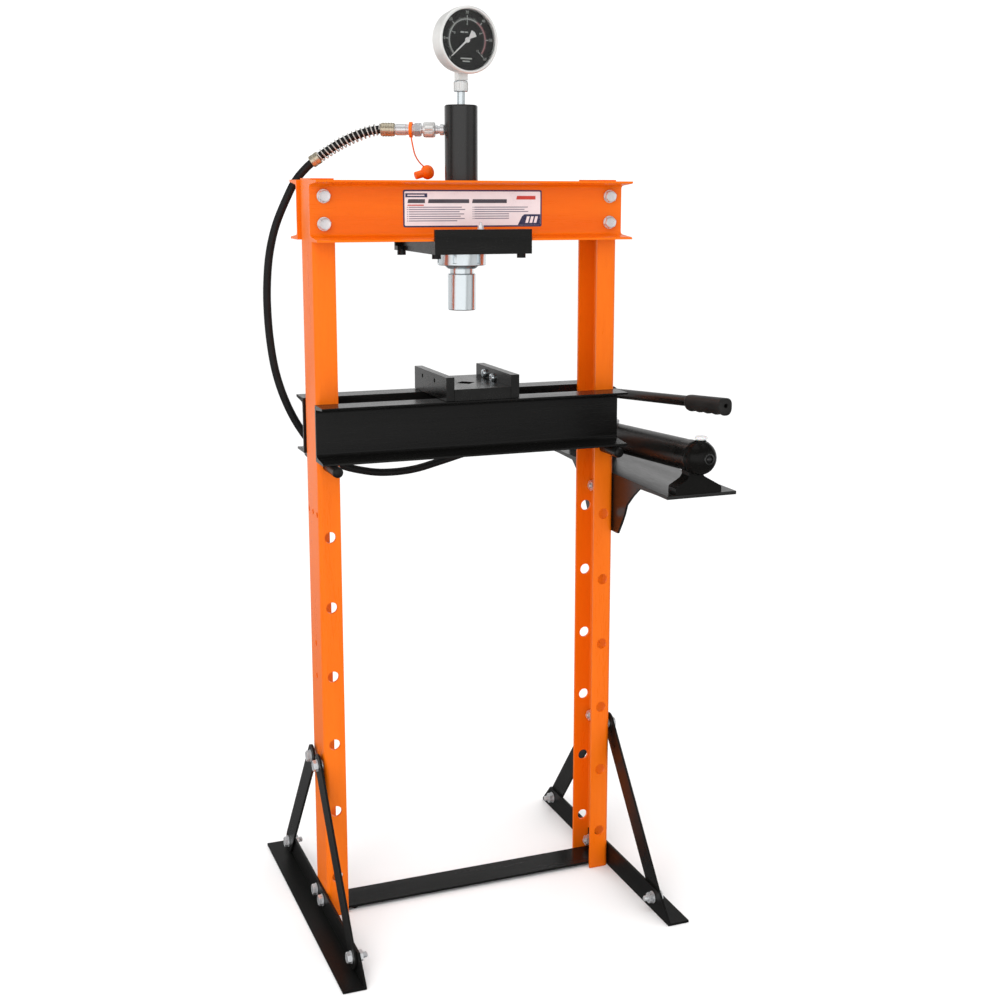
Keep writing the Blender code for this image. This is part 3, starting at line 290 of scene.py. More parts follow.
class Build:
    """Collects faces for one piece. Points are millimetres in the press's axes."""

    def __init__(self):
        self.bm = bmesh.new()

    def point(self, p):
        return self.bm.verts.new((Vector(p) + SHIFT) * MM)

    def rings(self, rings, slot=0, caps=(True, True), closed=False):
        made = [[self.point(p) for p in ring] for ring in rings]
        pairs = list(zip(made, made[1:]))
        if closed:
            pairs.append((made[-1], made[0]))
        faces = []
        for a, b in pairs:
            for i in range(len(a)):
                j = (i + 1) % len(a)
                faces.append(self.bm.faces.new((a[i], a[j], b[j], b[i])))
        if not closed:
            if caps[0]:
                faces.append(self.bm.faces.new(list(reversed(made[0]))))
            if caps[1]:
                faces.append(self.bm.faces.new(made[-1]))
        for face in faces:
            face.material_index = slot
        return faces

    def lathe(self, profile, centre, direction, segments=32, slot=0, shape=None, closed=False):
        """Profile is (radius, height); shape(angle, radius, height) may change the radius and height."""
        w = Vector(direction).normalized()
        u = w.orthogonal().normalized() if abs(w.z) < 0.9 else Vector((1, 0, 0))
        u = (u - w * u.dot(w)).normalized()
        v = w.cross(u)
        centre = Vector(centre)
        rings = []
        for radius, height in profile:
            ring = []
            for i in range(segments):
                a = 2 * math.pi * i / segments
                r, h = shape(a, radius, height) if shape else (radius, height)
                ring.append(centre + w * h + (u * math.cos(a) + v * math.sin(a)) * r)
            rings.append(ring)
        return self.rings(rings, slot, closed=closed)

    def block(self, lo, hi, slot=0):
        (x0, y0, z0), (x1, y1, z1) = lo, hi
        low = [(x0, y0, z0), (x1, y0, z0), (x1, y1, z0), (x0, y1, z0)]
        high = [(x, y, z1) for x, y, z in low]
        return self.rings([low, high], slot)

    def plate(self, outline, origin, u, v, n, thickness, slot=0):
        """A thin plate: outline in (u, v) around origin, raised along n."""
        origin, u, v, n = Vector(origin), Vector(u), Vector(v), Vector(n)
        low = [origin + u * a + v * b for a, b in outline]
        return self.rings([low, [p + n * thickness for p in low]], slot)

    def done(self, name, materials, body="frame", soft=0.0, segments=2, angle=35.0):
        bmesh.ops.recalc_face_normals(self.bm, faces=self.bm.faces)
        mesh = bpy.data.meshes.new(name)
        self.bm.to_mesh(mesh)
        self.bm.free()
        obj = bpy.data.objects.new(name, mesh)
        scene.collection.objects.link(obj)
        for material in materials if isinstance(materials, (list, tuple)) else [materials]:
            mesh.materials.append(material)
        soften(obj, soft, segments, angle)
        if body:
            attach(obj, body)
        return obj


def catmull(points, spacing):
    """Evenly spaced points along a smooth curve through the given ones."""
    p = [Vector(q) for q in points]
    p = [p[0] * 2 - p[1]] + p + [p[-1] * 2 - p[-2]]
    fine = []
    for i in range(1, len(p) - 2):
        for k in range(24):
            t = k / 24
            fine.append(
                0.5
                * (
                    2 * p[i]
                    + (p[i + 1] - p[i - 1]) * t
                    + (2 * p[i - 1] - 5 * p[i] + 4 * p[i + 1] - p[i + 2]) * t**2
                    + (3 * p[i] - p[i - 1] - 3 * p[i + 1] + p[i + 2]) * t**3
                )
            )
    fine.append(p[-2])
    lengths = [0.0]
    for a, b in zip(fine, fine[1:]):
        lengths.append(lengths[-1] + (b - a).length)
    count = max(2, round(lengths[-1] / spacing))
    route, j = [], 0
    for i in range(count + 1):
        want = lengths[-1] * i / count
        while j < len(lengths) - 2 and lengths[j + 1] < want:
            j += 1
        part = (want - lengths[j]) / max(lengths[j + 1] - lengths[j], 1e-9)
        route.append(fine[j].lerp(fine[j + 1], min(max(part, 0), 1)))
    return route, lengths[-1]


def frames_of(route):
    """(point, side, up, ahead) carried along a route without twist."""
    found = []
    side = None
    for i, point in enumerate(route):
        w = (route[min(i + 1, len(route) - 1)] - route[max(i - 1, 0)]).normalized()
        if side is None:
            side = Vector((0, 0, 1)).cross(w).normalized()
        side = (side - w * side.dot(w)).normalized()
        found.append((point, side.copy(), w.cross(side), w))
    return found


def tube(build, route, radius, segments=16, slot=0, ends=True):
    """A round bar along a route; radius is a number or a function of the share of the length."""
    rings = []
    found = frames_of(route)
    for i, (point, u, v, w) in enumerate(found):
        r = radius(i / (len(found) - 1)) if callable(radius) else radius
        rings.append(
            [point + u * (r * math.cos(2 * math.pi * k / segments)) + v * (r * math.sin(2 * math.pi * k / segments)) for k in range(segments)]
        )
    build.rings(rings, slot, (ends, ends))


# ---------------------------------------------------------------- hose
AXIS_X = -2.2
out_turn = math.radians(25.0)
out = Vector((-math.cos(out_turn), math.sin(out_turn), 0))
port = Vector((AXIS_X, 0, 1355.0))
HOSE_R = 6.8
HOSE_POINTS = [
    port + out * 118.3,
    port + out * 127.0,
    port + out * 136.0,
    port + out * 144.0 - Vector((0, 0, 0.3)),
    (-158.4, 68.0, 1347.6), (-189.8, 80.0, 1332.6), (-228.8, 98.0, 1304.5), (-258.0, 108.0, 1273.5),
    (-277.0, 112.0, 1238.0), (-294.0, 118.0, 1196.0), (-304.4, 122.0, 1153.8), (-309.5, 125.0, 1110.0),
    (-310.8, 127.5, 1060.0), (-307.6, 128.0, 1000.0), (-299.0, 127.0, 942.0), (-283.0, 125.0, 890.0),
    (-260.4, 123.0, 844.0), (-229.0, 122.0, 802.0), (-190.3, 122.0, 774.0), (-140.0, 122.5, 758.5),
    (-97.7, 124.0, 753.5), (-50.0, 125.5, 756.0), (-1.5, 127.0, 766.5), (60.0, 128.5, 781.0),
    (130.0, 129.5, 791.5), (190.0, 130.0, 796.0), (224.0, 130.0, 797.0), (238.0, 130.0, 797.0),
    (252.0, 130.0, 797.0),
]
hose_route, hose_length = catmull(HOSE_POINTS, 10.0)
hose_build = Build()
tube(hose_build, hose_route, HOSE_R, 20)
hose = hose_build.done("pressure_hose", rubber, "frame")
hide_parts("hose")

# Spring guard: an open coil that hangs a little low on the hose, with a crimped sleeve at its lower end.
guard_route, guard_length = catmull(HOSE_POINTS[2:7], 3.0)
coil = []
TURNS = 16.5
found = frames_of(guard_route)
steps = int(TURNS * 22)
for i in range(steps + 1):
    t = i / steps
    f = t * (len(found) - 1)
    k = min(int(f), len(found) - 2)
    a, b = found[k], found[k + 1]
    point = a[0].lerp(b[0], f - k)
    u, v = a[1], a[2]
    angle = 2 * math.pi * TURNS * t
    drop = 1.6 * math.sin(math.pi * min(max((t - 0.06) / 0.86, 0), 1))
    radius = 8.9 + 0.7 * math.sin(math.pi * t)
    coil.append(point - Vector((0, 0, drop)) + u * (radius * math.cos(angle)) + v * (radius * math.sin(angle)))
guard_build = Build()
tube(guard_build, coil, 1.15, 8)
guard = guard_build.done("hose_guard_coil", spring_steel, "frame")
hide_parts("hose_spring_guard")
sleeve_build = Build()
end_point, end_u, end_v, end_w = found[-1]
sleeve_build.lathe(
    [(7.1, -9.0), (9.6, -9.0), (10.4, -8.2), (10.4, -2.2), (9.9, -1.6), (9.9, -0.6), (10.4, 0.0), (10.4, 6.2), (9.6, 7.0), (7.1, 7.0)],
    end_point, end_w, 32, closed=True,
)
sleeve = sleeve_build.done("hose_guard_sleeve", yellow_zinc, "frame")

# ---------------------------------------------------------------- finishes of the CAD nodes


def dress(material, width, *names, segments=2, angle=35.0):
    for name in names:
        node = NODES[name]
        node.data.materials.clear()
        node.data.materials.append(material)
        soften(node, width, segments, angle)


dress(orange_z, 0.9, "upright_left", "upright_right")
dress(orange_x, 1.3, "head_beam_front", "head_beam_rear")
dress(black_x, 1.2, "bed_beam_front", "bed_beam_rear")
dress(black_x, 0.7, "base_crossbar", "cylinder_carriage")
dress(black_y, 0.7, "foot_left", "foot_right")
dress(black_shelf, 0.9, "pump_shelf")
dress(black_z, 0.7, "brace_left_front", "brace_left_rear", "brace_right_front", "brace_right_rear")
dress(black_z, 0.5, "bed_spacer_left", "bed_spacer_right", "bed_pin_left", "bed_pin_right")
dress(black_barrel, 0.5, "cylinder_barrel")
dress(black_cap, 0.5, "handle_lever")
dress(black_cap, 1.0, "pump_end_cap")
dress(black_cast, 1.2, "pump_head")
dress(black_tube, 0.0, "pump_tank", "handle_tube")
dress(dark_steel, 0.8, "arbor_base_plate", "arbor_side_left", "arbor_side_right")
dress(zinc, 0.3, "coupler_body")
dress(yellow_zinc, 0.5, "hose_ferrule", "pump_hose_fitting")
dress(stainless, 0.4, "coupler_collar", "release_knob")
dress(bezel_steel, 0.5, "gauge_case", "gauge_bezel")
dress(chrome, 0.4, "cylinder_lock_ring", "ram_rod", "ram_saddle", "gauge_stem", "pump_plunger")
dress(dial_black, 0.0, "gauge_dial")
dress(glass, 0.0, "gauge_glass")
dress(plug_white, 0.4, "vent_plug")
dress(orange_soft, 0.3, "dust_cap")

# ---------------------------------------------------------------- fasteners


def hex_profile(build, centre, direction, flats, low, high, slot=0, both=False, hollow=0.0):
    """A hexagon with its corners chamfered by a cone, as a bolt head or a nut has."""
    across = flats / 2
    inner = across * 0.97

    def top_of(r):
        return high - max(0.0, r - inner) * math.tan(math.radians(30))

    def low_of(r):
        return low + (max(0.0, r - inner) * math.tan(math.radians(30)) if both else 0.0)

    def shape(a, radius, kind):
        hexagon = across / math.cos((a + math.pi / 6) % (math.pi / 3) - math.pi / 6)
        if kind == 1:
            return hexagon, low_of(hexagon)
        if kind == 2:
            return hexagon, top_of(hexagon)
        if kind == 0:
            return inner * 0.995 if both else hexagon * 0.999, low
        if kind == 3:
            return inner * 0.995, high
        if kind == 4:
            return radius, high - 0.45
        return radius, high - 0.5

    profile = [(0, 0), (0, 1), (0, 2), (0, 3), (across * 0.80, 4), (across * 0.3, 5)]
    if hollow:
        profile = [(0, 0), (0, 1), (0, 2), (0, 3), (hollow, 3.5)]
    build.lathe(profile, centre, direction, 48, slot, shape)


def thread(build, centre, direction, radius, start, end, pitch, slot=0):
    """Thread crests as rings, with a chamfered end."""
    sign = 1 if end > start else -1
    profile = []
    h = start
    while sign * (end - h) > pitch * 1.2:
        profile += [(radius - 0.55 * pitch, h), (radius, h + sign * pitch * 0.45), (radius - 0.05, h + sign * pitch * 0.55)]
        h += sign * pitch
    profile += [(radius - 0.5 * pitch, h), (radius - 0.9 * pitch, end)]
    build.lathe(profile, centre, direction, 28, slot)


def bolt(name, point, direction, shank, reach, flats, head, nut, tail, replaces=None, body="frame", collar=None, pitch=1.5):
    """Head and washer before reach[0] along the direction, washer, nut and thread end after reach[1]."""
    b = Build()
    a, z = reach
    r = flats / 2 + 2.2
    washer = [(shank, 0.0), (r - 0.3, 0.0), (r, 0.3), (r, 1.5), (r - 0.3, 1.8), (shank, 1.8)]
    b.lathe([(q, a - h) for q, h in washer], point, direction, 40)
    hex_profile(b, Vector(point) + Vector(direction) * (a - 1.8), -Vector(direction), flats, 0.0, head)
    b.lathe([(shank, a), (shank, z)], point, direction, 24)
    if collar:
        c, c0, c1 = collar
        b.lathe([(c - 0.4, c0), (c, c0 + 0.4), (c, c1 - 0.4), (c - 0.4, c1)], point, direction, 24)
    b.lathe([(q, z + h) for q, h in washer], point, direction, 40)
    hex_profile(b, Vector(point) + Vector(direction) * (z + 1.8), direction, flats, 0.0, nut, both=True, hollow=shank)
    thread(b, point, direction, shank, z + nut, z + 1.8 + nut + tail, pitch)
    obj = b.done(name, zinc, body, 0.12, 1, 40.0)
    if replaces:
        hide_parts(replaces)
    return obj


HALF, GAP = 270.0, 0.3
for s, side in ((-1, "left"), (1, "right")):
    for z, where in ((1246.0, "upper"), (1201.8, "lower")):
        bolt(
            "cap_screw_%s_%s" % (side, where), (s * 252.0, 0, z), (0, 1, 0), 6.0, (-46.6, 46.6), 18.0, 7.6, 10.3, 2.6,
            "head_bolt_%s_%s" % (side, where), pitch=1.75,
        )
    near = HALF + 2 * GAP + 4.0
    for f, where in ((-1, "front"), (1, "rear")):
        bolt(
            "strut_screw_%s_%s" % (side, where), (0, f * 24.0, 277.0), (-s, 0, 0), 5.0,
            (-(near + 4.0 + GAP), -(HALF - 5.0 - GAP)), 17.0, 6.4, 8.0, 3.0,
            "brace_bolt_%s_%s" % (side, where), collar=(9.0, -(near - GAP), -(HALF + GAP)),
        )
        bolt(
            "base_screw_%s_%s" % (side, where), (0, f * 22.0, 25.0), (-s, 0, 0), 5.0,
            (-near, -(HALF - 5.0 - 2 * GAP - 4.0)), 17.0, 6.4, 8.0, 3.0,
            "foot_bolt_%s_%s" % (side, where),
        )
        bolt(
            "strut_foot_screw_%s_%s" % (side, where), (0, f * 229.0, 25.3), (-s, 0, 0), 5.0,
            (-(near + 4.0 + 0.1), -(HALF + 0.2)), 17.0, 6.4, 8.0, 8.0,
        )
for k, y in enumerate((-28.0, 0.0, 28.0)):
    bolt("shelf_screw_%d" % k, (0, y, 721.0), (-1, 0, 0), 5.0, (-(HALF + 4.4), -(HALF - 5.1)), 17.0, 6.4, 8.0, 3.0)

# ---------------------------------------------------------------- gauge
turn_g = math.radians(8.5)
facing = Vector((math.sin(turn_g), -math.cos(turn_g), 0))
across = Vector((math.cos(turn_g), math.sin(turn_g), 0))
UP = Vector((0, 0, 1))
gauge = Vector((AXIS_X, 0, 1498.8))


def on_dial(radius, degrees, height):
    a = math.radians(degrees)
    return gauge + across * (radius * math.cos(a)) + UP * (radius * math.sin(a)) + facing * height


def dial_arc(build, r0, r1, a0, a1, slot, height=23.05, thick=0.12, steps=40):
    rings = []
    for i in range(steps + 1):
        a = a0 + (a1 - a0) * i / steps
        rings.append([on_dial(r0, a, height), on_dial(r1, a, height), on_dial(r1, a, height + thick), on_dial(r0, a, height + thick)])
    build.rings(rings, slot)


def dial_tick(build, degrees, r0, r1, width, slot, height=23.05, thick=0.12):
    a = math.radians(degrees)
    radial = across * math.cos(a) + UP * math.sin(a)
    side = facing.cross(radial) * (width / 2)
    low = [gauge + radial * r + side * k + facing * height for r, k in ((r0, -1), (r1, -1), (r1, 1), (r0, 1))]
    build.rings([low, [p + facing * thick for p in low]], slot)


marks = Build()
START, SPAN = 222.0, -264.0
dial_arc(marks, 32.6, 33.9, START, START + SPAN * 0.62, 0)
dial_arc(marks, 32.4, 34.3, START + SPAN * 0.62, START + SPAN * 0.985, 1)
for i in range(61):
    share = i / 60
    major = i % 10 == 0
    dial_tick(
        marks, START + SPAN * share, 33.9, 39.4 if major else (37.6 if i % 5 == 0 else 36.2), 1.3 if major else 0.55,
        1 if 0.62 < share < 0.98 and not major else 0,
    )
for i in range(41):
    major = i % 10 == 0
    dial_tick(marks, START + SPAN * i / 40, 32.5 - (5.0 if major else 2.0), 32.5, 0.9 if major else 0.42, 0)
# Plain bars where such a dial has its small print.
for u0, u1, v0, v1 in ((-12.5, -5.8, 11.0, 13.4), (-4.4, 1.4, 11.2, 13.2), (-12.8, 8.4, -30.6, -28.6), (-9.0, 4.8, -35.0, -33.2)):
    low = [gauge + across * u + UP * v + facing * 23.05 for u, v in ((u0, v0), (u1, v0), (u1, v1), (u0, v1))]
    marks.rings([low, [p + facing * 0.12 for p in low]], 0)
marks.done("dial_scale_marks", [print_white, print_red], "frame")


def glyphs(name, text, place, size, material, depth=0.12, spacing=1.0):
    """Raised figures on the dial, centred on a point and turned to face out of it."""
    curve = bpy.data.curves.new(name, "FONT")
    curve.body = text
    curve.size = size * MM
    curve.align_x = "CENTER"
    curve.align_y = "CENTER"
    curve.extrude = depth * MM / 2
    curve.resolution_u = 3
    curve.space_character = spacing
    temp = bpy.data.objects.new(name + "_text", curve)
    scene.collection.objects.link(temp)
    bpy.context.view_layer.update()
    mesh = bpy.data.meshes.new_from_object(temp.evaluated_get(bpy.context.evaluated_depsgraph_get()))
    bpy.data.objects.remove(temp)
    basis = Matrix((across, UP, facing)).transposed().to_4x4()
    mesh.transform(Matrix.Translation((place + SHIFT) * MM) @ basis)
    mesh.materials.clear()
    mesh.materials.append(material)
    mesh.name = name
    return mesh


def join_meshes(name, meshes, body, material):
    bm = bmesh.new()
    for mesh in meshes:
        bm.from_mesh(mesh)
        bpy.data.meshes.remove(mesh)
    bmesh.ops.remove_doubles(bm, verts=bm.verts, dist=1e-7)
    mesh = bpy.data.meshes.new(name)
    bm.to_mesh(mesh)
    bm.free()
    mesh.materials.append(material)
    obj = bpy.data.objects.new(name, mesh)
    scene.collection.objects.link(obj)
    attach(obj, body)
    return obj


figures = []
for k in range(7):
    a = START + SPAN * k / 6
    figures.append(glyphs("figure_out_%d" % k, str(k * 10), on_dial(43.9, a, 23.12), 6.6, print_white))
for k in range(5):
    a = START + SPAN * k / 4
    figures.append(glyphs("figure_in_%d" % k, str(k * 3), on_dial(25.6, a, 23.12), 5.6, print_white))
join_meshes("dial_figures", figures, "frame", print_white)

# Needle with a wide counterweight tail.
zero = math.radians(222.0)
n_dir = across * math.cos(zero) + UP * math.sin(zero)
n_side = facing.cross(n_dir)
needle_build = Build()
outline = [
    (-16.5, -6.6), (-18.6, 0.0), (-16.5, 6.6), (-6.0, 2.0), (-3.0, 1.9), (6.0, 1.5), (39.0, 0.6), (41.0, 0.0),
    (39.0, -0.6), (6.0, -1.5), (-3.0, -1.9), (-6.0, -2.0),
]
needle_build.plate(outline, gauge + facing * 23.7, n_dir, n_side, facing, 0.7)
needle_build.lathe([(4.4, 23.4), (4.4, 24.7), (3.8, 25.3), (1.4, 25.6)], gauge, facing, 28)
needle = needle_build.done("pointer", needle_white, "needle", 0.1, 1)
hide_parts("gauge_needle")

# A rolled lip inside the bezel.
lip = Build()
lip.lathe([(49.0, 28.7), (49.2, 30.2), (49.8, 31.2), (50.9, 31.6), (52.2, 31.4), (53.1, 30.6), (53.3, 29.4)], gauge, facing, 72, closed=True)
lip.done("bezel_lip", bezel_steel, "frame")


def knurl(name, centre, direction, radius, low, high, teeth, depth, material, body, rise=0.5):
    """Straight knurling: a thin toothed sleeve with eased ends."""
    b = Build()

    def shape(a, r, h):
        wave = 0.5 + 0.5 * math.cos(teeth * a)
        return (r + depth * wave if r > radius - 0.1 else r), h

    b.lathe(
        [(radius - 0.7, low), (radius - 0.35, low), (radius, low + rise), (radius, high - rise), (radius - 0.35, high), (radius - 0.7, high)],
        centre, direction, teeth * 4, shape=shape, closed=True,
    )
    return b.done(name, material, body)


knurl("gauge_nut_knurl", (AXIS_X, 0, 0), (0, 0, 1), 11.8, 1418.2, 1433.2, 30, 0.5, stainless, "frame")
knurl("coupler_collar_knurl", port, out, 12.4, 46.0, 60.5, 32, 0.45, stainless, "collar")
knurl("release_knob_knurl", (322.0, 162.0, 784.0), (1, 0, 0), 12.0, 36.4, 47.6, 28, 0.5, stainless, "release")

# Coupler: a hexagon on the body, with turned grooves.
fit = Build()
hex_profile(fit, port + out * 67.3, out, 20.6, 0.0, 11.0, both=True, hollow=8.6)
fit.lathe([(8.6, 92.0), (9.5, 92.6), (9.5, 108.6), (8.6, 109.6)], port, out, 32)
fit.lathe([(8.6, 79.0), (9.2, 79.3), (9.2, 81.0), (8.6, 81.4)], port, out, 32)
fit.lathe([(6.3, 28.2), (8.8, 28.6), (9.2, 30.5), (9.2, 34.6), (8.8, 35.4), (6.3, 35.6)], port, out, 32)
fit.lathe([(6.3, 39.0), (7.4, 39.3), (7.4, 42.2), (6.3, 42.6)], port, out, 32)
fit.done("coupler_details", zinc, "frame", 0.12, 1)

# Ferrule crimps.
crimp = Build()
for k in range(4):
    s0 = 116.0 + 4.6 * k
    crimp.lathe([(10.9, s0), (11.45, s0 + 0.5), (11.45, s0 + 2.6), (10.9, s0 + 3.1)], port, out, 40)
crimp.done("ferrule_crimps", yellow_zinc, "frame")

# ---------------------------------------------------------------- label on the head (plain bars, no lettering)
LABEL_Y = -46.35


def label_box(build, x0, x1, z0, z1, depth, slot, slant=0.0):
    outline = [(x0, z0), (x1, z0), (x1, z1), (x0 + slant, z1)]
    build.plate(outline, (0, LABEL_Y - depth + 0.12, -1.9), (1, 0, 0), (0, 0, 1), (0, -1, 0), 0.12, slot)


def rounded(x0, x1, z0, z1, r):
    points = []
    for cx, cz, a0 in ((x1 - r, z0 + r, -90), (x1 - r, z1 - r, 0), (x0 + r, z1 - r, 90), (x0 + r, z0 + r, 180)):
        for k in range(7):
            a = math.radians(a0 + 15 * k)
            points.append((cx + r * math.cos(a), cz + r * math.sin(a)))
    return points


panel = Build()
panel.plate(rounded(-119.5, 125.5, 1197.4, 1258.2, 3.0), (0, LABEL_Y, -1.9), (1, 0, 0), (0, 0, 1), (0, -1, 0), 0.25, 0)
panel.plate(rounded(-117.0, 123.0, 1199.9, 1255.7, 2.2), (0, LABEL_Y - 0.26, -1.9), (1, 0, 0), (0, 0, 1), (0, -1, 0), 0.08, 1)
LABEL_Y -= 0.36
label_box(panel, -115.5, -78.0, 1246.0, 1252.5, 0.12, 0)
label_box(panel, -112.0, -83.0, 1248.3, 1250.2, 0.26, 1)
x = -112.0
for width in (30.0, 72.0, 62.0):
    label_box(panel, x, x + width, 1236.6, 1243.0, 0.12, 4, 1.4)
    x += width + 5.0
label_box(panel, 79.0, 114.0, 1242.5, 1248.5, 0.12, 3, 1.5)
label_box(panel, -112.0, -84.0, 1232.3, 1234.2, 0.12, 3)
for column, x0 in enumerate((-110.0, 4.0)):
    for row in range(7):
        z = 1229.2 - 3.7 * row
        if column and row > 5:
            continue
        run = (92.0, 98.0, 88.0, 96.0, 90.0, 97.0, 84.0)[(row + 3 * column) % 7]
        if column and row > 2:
            run = min(run, 62.0)
        label_box(panel, x0 - 3.0, x0 - 1.4, z, z + 1.4, 0.12, 2)
        label_box(panel, x0, x0 + run, z, z + 1.5, 0.12, 2)
panel.plate([(82.0, 1200.1), (122.7, 1200.1), (122.7, 1218.0), (94.0, 1218.0), (89.5, 1214.5)], (0, LABEL_Y, -1.9), (1, 0, 0), (0, 0, 1), (0, -1, 0), 0.14, 0)
for k in range(3):
    panel.plate(
        [(95.5 + 7.6 * k, 1203.6), (100.5 + 7.6 * k, 1203.6), (103.5 + 7.6 * k, 1214.5), (98.5 + 7.6 * k, 1214.5)],
        (0, LABEL_Y - 0.15, -1.9), (1, 0, 0), (0, 0, 1), (0, -1, 0), 0.1, 1,
    )
panel.done("instruction_panel", [label_navy, label_field, label_ink, label_red, label_dark], "frame")

# ---------------------------------------------------------------- carriage clamp screw, arbor screws
clamp = Build()
clamp.lathe([(5.6, 1193.2), (5.6, 1194.6), (5.0, 1195.0)], (-2.3, -94.8, 0), (0, 0, 1), 28)
hex_profile(clamp, (-2.3, -94.8, 1195.0), (0, 0, 1), 8.6, 0.0, 5.0, both=True, hollow=2.6)
clamp.lathe([(2.6, 1199.0), (2.6, 1203.4), (2.0, 1204.4)], (-2.3, -94.8, 0), (0, 0, 1), 20)
clamp.done("carriage_clamp_screw", zinc, "frame", 0.12, 1)

screws = Build()
for y, z in ((41.0, 937.0), (0.0, 934.0)):
    screws.lathe([(7.6, 0.0), (7.6, 2.6), (6.4, 4.8), (4.0, 5.2), (3.6, 2.8)], (54.8, y, z), (-1, 0, 0), 32)
screws.done("arbor_screws", chrome, "bed", 0.15, 1)

# ---------------------------------------------------------------- pump details
tank_front, tank_rear = Vector((322, -222, 818.0)), Vector((322, 112.2, 799.2))
tank_aim = (tank_rear - tank_front).normalized()
pump = Build()
length = (tank_rear - tank_front).length
pump.lathe([(25.5, length - 8.0), (27.9, length - 7.0), (28.3, length - 4.5), (27.7, length - 2.0), (25.5, length - 1.0)], tank_front, tank_aim, 48)
pump.done("tank_rims", black_cast, "frame")
plug = Build()
face = tank_front - tank_aim * 66.5
plug_at = Vector((327.5, face.y + 1.5, face.z - 0.6))
plug.lathe([(9.6, -6.0), (9.6, 1.0), (8.8, 2.2), (7.0, 2.4), (6.4, 0.4), (4.9, 0.2), (4.6, 1.6), (3.6, 2.6), (2.0, 3.1), (0.5, 3.2)], plug_at, -tank_aim, 36)
plug.done("cap_face_plug", black_barrel, "frame", 0.15, 1)
fitting = Build()
hex_profile(fitting, (322.0, 66.0, 827.8), (0, 0, 1), 15.0, 0.0, 7.0, both=True, hollow=4.5)
fitting.lathe([(4.5, 6.0), (4.5, 10.5), (3.4, 11.6), (1.2, 11.8)], (322.0, 66.0, 827.8), (0, 0, 1), 24)
fitting.done("tank_bleed_screw", zinc, "frame", 0.15, 1)

# A nut under the end of the crossbar.
under = Build()
hex_profile(under, (-217.0, -24.0, 5.0), (0, 0, -1), 8.0, 0.0, 4.4, both=True, hollow=2.4)
under.done("crossbar_nut", black_cast, "frame", 0.1, 1)

# ---------------------------------------------------------------- handle grip: a moulded sleeve with finger waves
slope = math.radians(5.0)
pivot = Vector((322.0, 187.0, 873.8))
aim = Vector((0, -math.cos(slope), math.sin(slope)))
up = Vector((0, math.sin(slope), math.cos(slope)))
G0, G1 = 412.2, 536.7
grip_rings = []
count = 84


def grip_ring(a, half, high, low, squareness=2.6, segments=36):
    ring = []
    for k in range(segments):
        t = 2 * math.pi * k / segments
        c, s = math.cos(t), math.sin(t)
        x = half * math.copysign(abs(c) ** (2 / squareness), c)
        v = (high if s > 0 else low) * math.copysign(abs(s) ** (2 / squareness), s)
        ring.append(pivot + aim * a + up * v + Vector((1, 0, 0)) * x)
    return ring


for i in range(count + 1):
    t = i / count
    a = G0 + (G1 - G0) * t
    wave = 1.25 * math.cos(2 * math.pi * 4.5 * (1 - t) - 0.35)
    ease = min(1.0, min(t * 1.0, (1 - t) * 2.2) / 0.05) ** 0.5
    grip_rings.append(grip_ring(a, 9.4 + 2.8 * ease, 9.4 + 1.9 * ease, 10.2 + 4.8 * ease + 1.0 * t + wave * ease))
grip = Build()
inner = [grip_ring(G0, 9.1, 9.1, 9.1, 2.0)]
hole_low = [
    [pivot + aim * a + up * (-1.5) + (up * math.sin(2 * math.pi * k / 36) + Vector((1, 0, 0)) * math.cos(2 * math.pi * k / 36)) * r for k in range(36)]
    for r, a in ((4.4, G1 + 0.2), (3.2, G1 - 0.8), (3.0, G1 - 18.0))
]
grip.rings(inner + grip_rings + hole_low, 0, (True, True))
grip_piece = grip.done("handle_grip_moulded", grip_rubber, "handle")
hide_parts("handle_grip")

# ---------------------------------------------------------------- stage and light
floor_mesh = bpy.data.meshes.new("floor")
floor_bm = bmesh.new()
bmesh.ops.create_grid(floor_bm, x_segments=1, y_segments=1, size=30.0)
floor_bm.to_mesh(floor_mesh)
floor_bm.free()
floor = bpy.data.objects.new("floor", floor_mesh)
floor.location = (0, 0, -0.0006)
scene.collection.objects.link(floor)
pale = Nodes("pale_floor")
floor_mesh.materials.append(
    pale.finish(
        Base_Color=pale.mix(pale.noise(3.0, 4.0, 0.6), (0.955, 0.955, 0.955), (0.97, 0.97, 0.97)),
        Roughness=0.6, Specular_IOR_Level=0.0,
    )
)
floor.visible_glossy = False

world = bpy.data.worlds.new("studio")
scene.world = world
world.use_nodes = True
tree = world.node_tree
background = tree.nodes["Background"]
make, link = tree.nodes.new, tree.links.new


def feed(socket, value):
    if isinstance(value, bpy.types.NodeSocket):
        link(value, socket)
    else:
        socket.default_value = value


def calc(how, a, b=0.0):
    node = make("ShaderNodeMath")
    node.operation = how
    feed(node.inputs[0], a)
    feed(node.inputs[1], b)
    return node.outputs[0]


def fade(value, low, high):
    """0 below low, 1 above high, smooth between."""
    node = make("ShaderNodeMapRange")
    node.interpolation_type = "SMOOTHSTEP"
    feed(node.inputs["Value"], value)
    node.inputs["From Min"].default_value = low
    node.inputs["From Max"].default_value = high
    return node.outputs[0]


def blend(factor, a, b):
    return calc("ADD", calc("MULTIPLY", a, calc("SUBTRACT", 1.0, factor)), calc("MULTIPLY", b, factor))


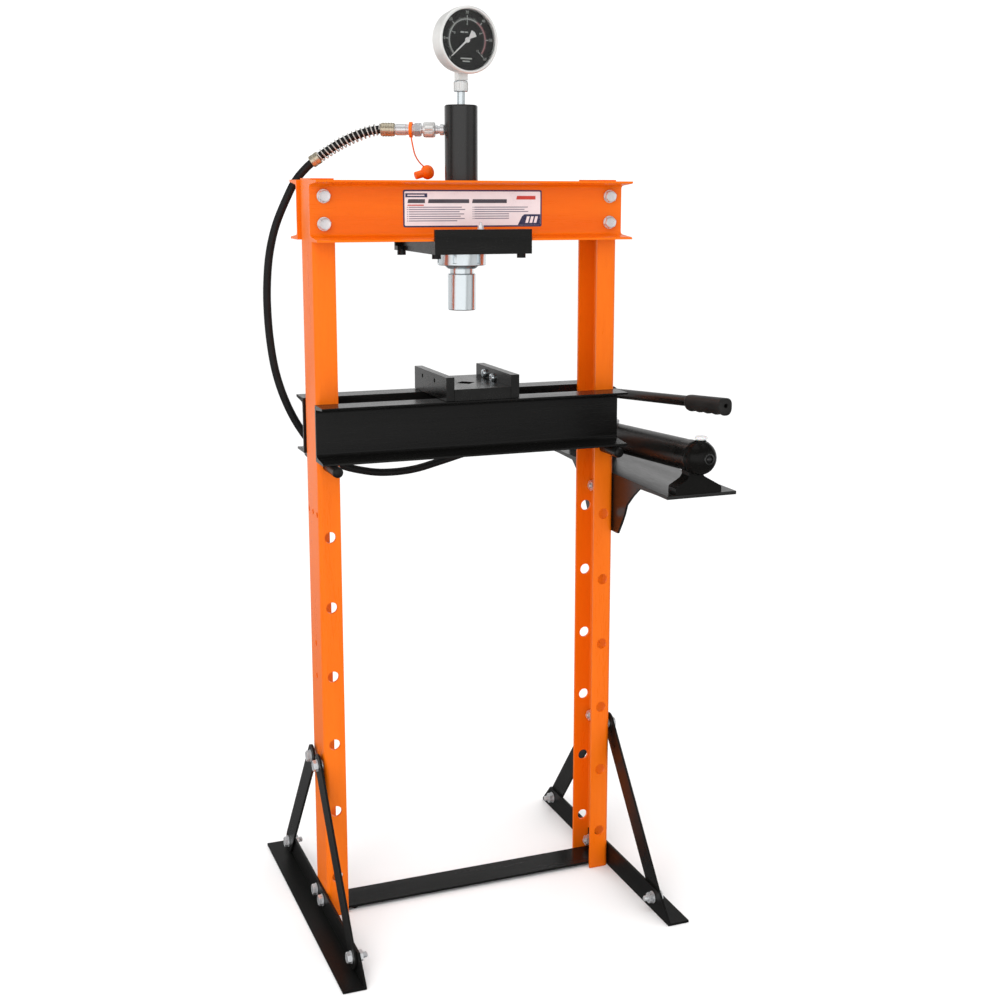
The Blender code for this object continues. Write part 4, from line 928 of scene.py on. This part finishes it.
# What gloss sees, by azimuth: a broad panel at the front left, narrow flags at the sides, and a white backdrop low behind.
split = make("ShaderNodeSeparateXYZ")
link(make("ShaderNodeTexCoord").outputs["Generated"], split.inputs[0])
dx, dy, dz = split.outputs
side_on = calc("ADD", calc("MULTIPLY", dx, 0.925), calc("MULTIPLY", dy, -0.380))
toward = calc("ADD", calc("MULTIPLY", dx, -0.380), calc("MULTIPLY", dy, -0.925))
azimuth = calc("ADD", calc("DIVIDE", calc("ARCTAN2", side_on, toward), 2 * math.pi), 0.5)
stops = make("ShaderNodeValToRGB")
link(azimuth, stops.inputs[0])
ramp = stops.color_ramp
for degrees, value in (
    (-180, 0.80), (-144, 0.80), (-134, 0.60), (-84, 0.58), (-77, 0.12), (-66, 0.12), (-58, 0.80), (-46, 1.0),
    (33, 1.0), (43, 0.42), (52, 0.45), (58, 0.58), (88, 0.58), (98, 0.10), (120, 0.10), (134, 0.80), (180, 0.80),
):
    place = degrees / 360 + 0.5
    if degrees == -180:
        stop = ramp.elements[0]
    elif degrees == 180:
        stop = ramp.elements[-1]
    else:
        stop = ramp.elements.new(place)
    stop.position = place
    stop.color = (value, value, value, 1)
around = stops.outputs[0]
height = calc("MULTIPLY", fade(dz, -0.44, -0.14), calc("SUBTRACT", 1.0, fade(dz, 0.34, 0.46)))
ceiling = calc("MULTIPLY", fade(dz, 0.72, 0.92), 0.6)
gloss = calc("ADD", calc("ADD", calc("MULTIPLY", around, height), ceiling), 0.10)
seen = make("ShaderNodeLightPath")
level = blend(seen.outputs["Is Glossy Ray"], 1.08, gloss)
level = blend(seen.outputs["Is Camera Ray"], level, 1.15)
link(level, background.inputs["Strength"])
background.inputs["Color"].default_value = (1, 1, 1, 1)


def softbox(name, place, target, width, height, power):
    data = bpy.data.lights.new(name, "AREA")
    data.shape = "RECTANGLE"
    data.size = width
    data.size_y = height
    data.energy = power
    obj = bpy.data.objects.new(name, data)
    scene.collection.objects.link(obj)
    obj.location = place
    obj.rotation_euler = (Vector(target) - Vector(place)).to_track_quat("-Z", "Y").to_euler()
    obj.visible_glossy = False
    return obj


softbox("key_left", (-2.2, -3.0, 2.2), (0, 0, 0.8), 1.6, 2.2, 38)
softbox("overhead", (-0.3, -0.4, 3.6), (0, 0, 0.6), 3.0, 2.4, 22)

scene.view_settings.view_transform = "Standard"
